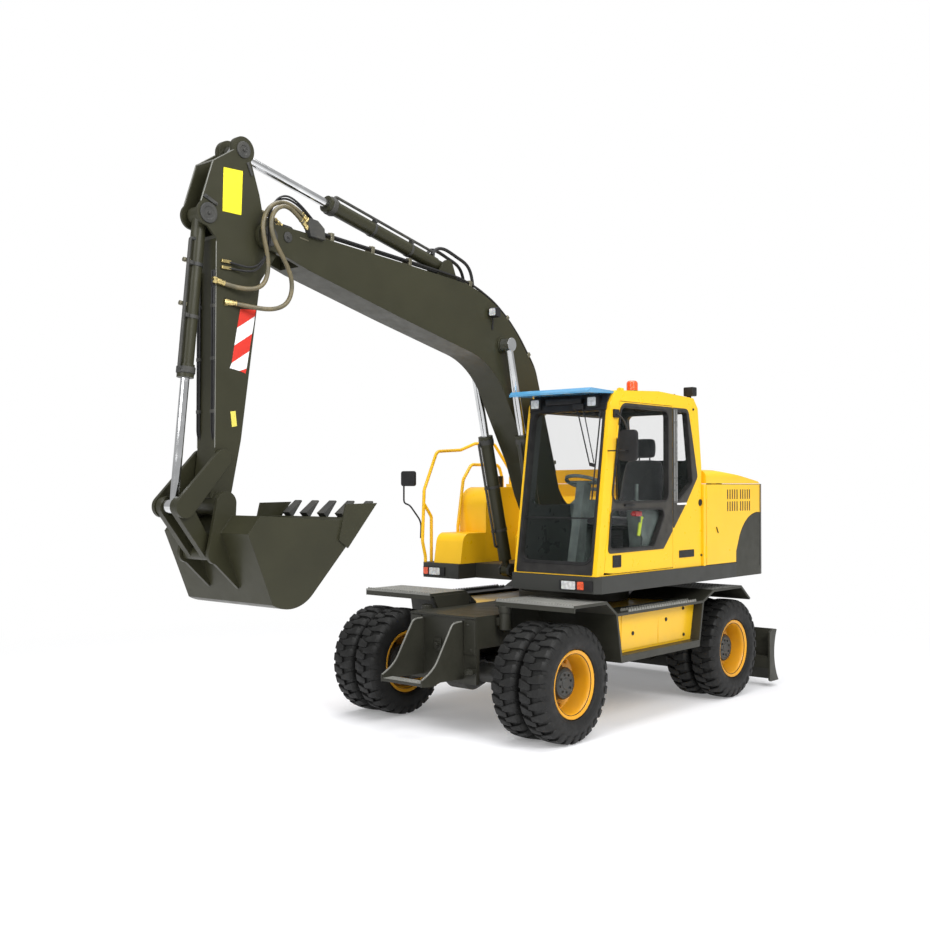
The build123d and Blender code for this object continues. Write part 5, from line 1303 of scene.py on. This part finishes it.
def cylinders():
    head_flange(ARM_CYLINDER, 16)
    barrel_pipe(ARM_CYLINDER, 1, 84, 150)
    head_flange(BUCKET_CYLINDER, 16)
    barrel_pipe(BUCKET_CYLINDER, 1, 78, 190)
    head_flange(BOOM_CYLINDERS, 12)
    barrel_pipe(BOOM_CYLINDERS, -1, 86, 260)


def bucket_cylinder_lugs():
    lugs = Shape()
    for distance in (350, 665):
        x, z = along(BUCKET_CYLINDER.line, distance)
        foot = [(x + 40, z - 12), (x + 92, z - 6), (x + 92, z + 22), (x + 40, z + 16)]
        lugs.prism(foot, -16, 16, chamfer=4)
        lugs.turned((x + 92, 0, z + 8), (1, 0, 0.1), [(0, 17), (10, 17), (12, 14)], 18)
    lugs.done("bucket_cylinder_lugs", "zinc", "bucket_barrel")


# ---- Arm ----
ARM_PIN_CAPS = (((4310, 4650), 62, 34), ((4620, 4130), 74, 46))   # (X, Z), outer and inner radius
STRIPE_REAR = ((4190, 3483), (4199, 3435), (4225, 3302), (4251, 3170), (4276, 3040), (4284, 3001))
STRIPE_FRONT = ((4335, 3472), (4362, 3332), (4387, 3200), (4411, 3070), (4428, 3031))
STRIPE_FOOT = (4340, 3017)


def arm_fittings():
    """Pin caps, small brackets and pipe clamps on both sides of the arm."""
    parts = Shape()
    bracket = plain([(4655, 4262), (4540, 4212), (4548, 4190), (4668, 4238)], 8, 3)
    stop = [(4262, 4572), (4284, 4560), (4240, 4470), (4222, 4480)]
    for side, _ in SIDES:
        out = (0, side, 0)
        for (x, z), radius, inner in ARM_PIN_CAPS:
            cap = [(0, radius), (9, radius), (12, radius - 4), (12, inner), (8, inner - 3), (8, 5)]
            parts.turned((x, side * 104, z), out, cap, 36)
            parts.bolt((x, side * 112, z), out, 13)
        parts.prism(bracket, *span(side, 105, 116), chamfer=2)
        parts.bolt((4640, side * 114, 4244), out, 8)
        parts.bolt((4560, side * 114, 4208), out, 8)
        parts.prism(stop, *span(side, 105, 114), chamfer=2)
        for z in (2700, 3080, 3460):
            parts.box((4546, 4572), span(side, 62, 104), (z, z + 26), 3)
    parts.done("arm_fittings", "cast", "arm")


# Pale grey lines along the arm's edges and across its top.
def arm_edges():
    edges = Shape()
    for side, _ in SIDES:
        edges.pipe([(4682, side * 101, 4206), (4581, side * 101, 4514), (4394, side * 101, 4636)], 5, 10, 6)
        edges.pipe([(4549, side * 103, 3940), (4556, side * 103, 2450)], 4, 10, 6)
    edges.pipe([(4580, -101, 4516), (4580, 101, 4516)], 6, 10, 6)
    edges.done("arm_edges", "pale_edge", "arm")


def arm_pipes():
    pipes = Shape()
    for y in (74, 96, -74, -96):
        pipes.pipe([(4562, y, 3730), (4563, y, 2560), (4540, y, 2470)], 8, 30, 8)
    pipes.pipe([(4562, 85, 3600), (4600, 112, 3640), (4566, 118, 3655)], 11, 20, 8)
    pipes.done("arm_pipes", "black", "arm")


def arm_signs():
    """Two blank plates, and the red and white stripes on both sides."""
    plate = Shape()
    outline = plain([(4489, 4486), (4316, 4492), (4329, 4164), (4497, 4165)], 6, 3)
    plate.prism(outline, 104.5, 107.5, chamfer=0.8)
    plate.done("arm_plate", "plate_yellow", "arm")
    tag = Shape()
    tag.prism([(4421, 2716), (4376, 2722), (4362, 2612), (4407, 2604)], 104.5, 108, chamfer=0.8)
    tag.done("arm_tag", "tag", "arm")
    stripes = [(STRIPE_FRONT[k], STRIPE_REAR[k], STRIPE_REAR[k + 1], STRIPE_FRONT[k + 1]) for k in range(3)]
    stripes.append((STRIPE_FRONT[3], STRIPE_REAR[3], STRIPE_REAR[4], STRIPE_FOOT, STRIPE_FRONT[4]))
    stripes.append((STRIPE_FOOT, STRIPE_REAR[4], STRIPE_REAR[5]))
    red = Shape()
    white = Shape()
    for side, _ in SIDES:
        for k, corners in enumerate(stripes):
            colour = white if k % 2 else red
            colour.prism(corners, *span(side, 104.6, 107.2), chamfer=0.6, segments=1)
    red.done("arm_stripes_red", "sign_red", "arm")
    white.done("arm_stripes_white", "sign_white", "arm")


# ---- Hoses ----
LONG_HOSE = ((4560, 122, 3650), (4500, 126, 3636), (4400, 150, 3615), (4300, 178, 3612), (4200, 196, 3640),
             (4150, 200, 3740), (4152, 200, 3880), (4196, 200, 4010), (4206, 198, 4130), (4150, 192, 4240),
             (4040, 180, 4310), (3920, 166, 4318), (3800, 158, 4270), (3745, 156, 4230))
LOW_HOSE = ((4452, 110, 3506), (4400, 122, 3504), (4320, 152, 3494), (4230, 190, 3480), (4110, 212, 3480),
            (3990, 226, 3530), (3945, 232, 3640), (3960, 236, 3750), (4020, 238, 3850), (4100, 238, 3950),
            (4160, 238, 4060), (4150, 232, 4180), (4070, 222, 4262), (3950, 200, 4290), (3830, 168, 4230),
            (3752, 158, 4178))


def line_route(k):
    """Route of the first (0) or second (1) thin line over the arm's joint."""
    return ((4500, 112, 3801 - 46 * k), (4420, 118, 3800 - 46 * k), (4330, 140, 3776 - 30 * k),
            (4240, 170 + 8 * k, 3780 - 30 * k), (4170, 186 + 12 * k, 3860), (4130, 190 + 14 * k, 3990),
            (4150, 190 + 14 * k, 4130), (4110, 176 + 10 * k, 4262), (3990, 156, 4366 + 24 * k),
            (3840, 150, 4350 + 24 * k), (3690, 150 + 16 * k, 4236))


def fixed_hose(name, material, route, radius, sides):
    """A hose held at both ends, which rides on no body."""
    shape = Shape()
    shape.hose(route, radius, sides)
    return shape.done(name, material, None, weighted=False)


def arm_hoses():
    for side, tag in SIDES:
        for index, route in enumerate((LONG_HOSE, LOW_HOSE)):
            mirrored = [(x, y * side, z) for x, y, z in route]
            piece = fixed_hose(f"arm_hose_{tag}_{index}", "hose", mirrored, 17, 12)
            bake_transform(piece)
    for k in (0, 1):
        piece = fixed_hose(f"arm_line_{k}", "black", line_route(k), 8, 8)
        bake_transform(piece)


def ferrule(shape, start, end, radius=22):
    """A crimped hose end with its hexagon nut."""
    start = Vector(start)
    way = (Vector(end) - start).normalized()
    sleeve = [(0, radius * 0.8), (4, radius), (34, radius), (36, radius * 0.86), (56, radius * 0.86),
              (58, radius), (64, radius), (66, radius * 0.8)]
    nut = [(0, radius * 0.95), (4, radius * 1.2), (26, radius * 1.2), (30, radius * 0.95)]
    shape.turned(start, way, sleeve, 14)
    shape.turned(start - way * 30, way, nut, 6)


def hose_ends():
    """Plated ends of the hoses, on the arm and on the boom."""
    fittings = Shape()
    ends = Shape()
    for side, _ in SIDES:
        ferrule(fittings, (4560, 121 * side, 3650), (4500, 126 * side, 3636))
        ferrule(fittings, (4452, 112 * side, 3506), (4400, 122 * side, 3504))
        for x, z in ((4560, 3650), (4452, 3506)):
            fittings.box((x - 6, x + 30), span(side, 100, 130), (z - 20, z + 22), 5)
        ferrule(ends, (3745, 156 * side, 4230), (3800, 158 * side, 4270), 20)
        ferrule(ends, (3752, 158 * side, 4178), (3830, 168 * side, 4230), 20)
    for z in (3790, 3744):
        fittings.box((4430, 4512), (106, 124), (z, z + 22), 3)
    fittings.done("arm_hose_ends", "brass", "arm")
    ends.done("boom_hose_ends", "brass", "boom")


def arm_cylinder_hoses():
    for k, y in enumerate((52, -52)):
        route = ((1650, y, 3990), (1662, y, 4100), (1720, y, 4190), (1840, y, 4222), (1960, y, 4262),
                 (2070, y, 4290), (2150, y * 0.8, 4268), (2180, y * 0.5, 4215))
        piece = fixed_hose(f"arm_cylinder_hose_{k}", "black", route, 15, 10)
        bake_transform(piece)


def boom_foot_hoses():
    for k, y in enumerate((-88, -54, 54, 88)):
        route = ((478, y, 2320), (440, y, 2200), (360, y, 2060), (230, y, 1960), (90, y, 1880), (10, y, 1760),
                 (0, y, 1600), (0, y, 1420))
        piece = fixed_hose(f"boom_foot_hose_{k}", "hose_black", route, 17, 10)
        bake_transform(piece)


# ---- The pieces, in order ----
PIECES = (wheels, step_edge_highlights, mudguard_treads, step_rung, step_teeth, nose_fittings, nose_latch,
          tool_box_doors, door_surround, quarter_surround, window_seals, pillar, windscreen_surround,
          windscreen_rubber, roof_header, lamps, wiper, door_fittings, cab_details, quarter_latch, mirrors,
          roof_fittings, body_lines, louvres, seat, levers, boom_pipes, boom_fittings, boom_marks, boom_lamp,
          cylinders, bucket_cylinder_lugs, arm_fittings, arm_edges, arm_pipes, arm_signs, arm_hoses,
          hose_ends, arm_cylinder_hoses, boom_foot_hoses)
for build in PIECES:
    build()
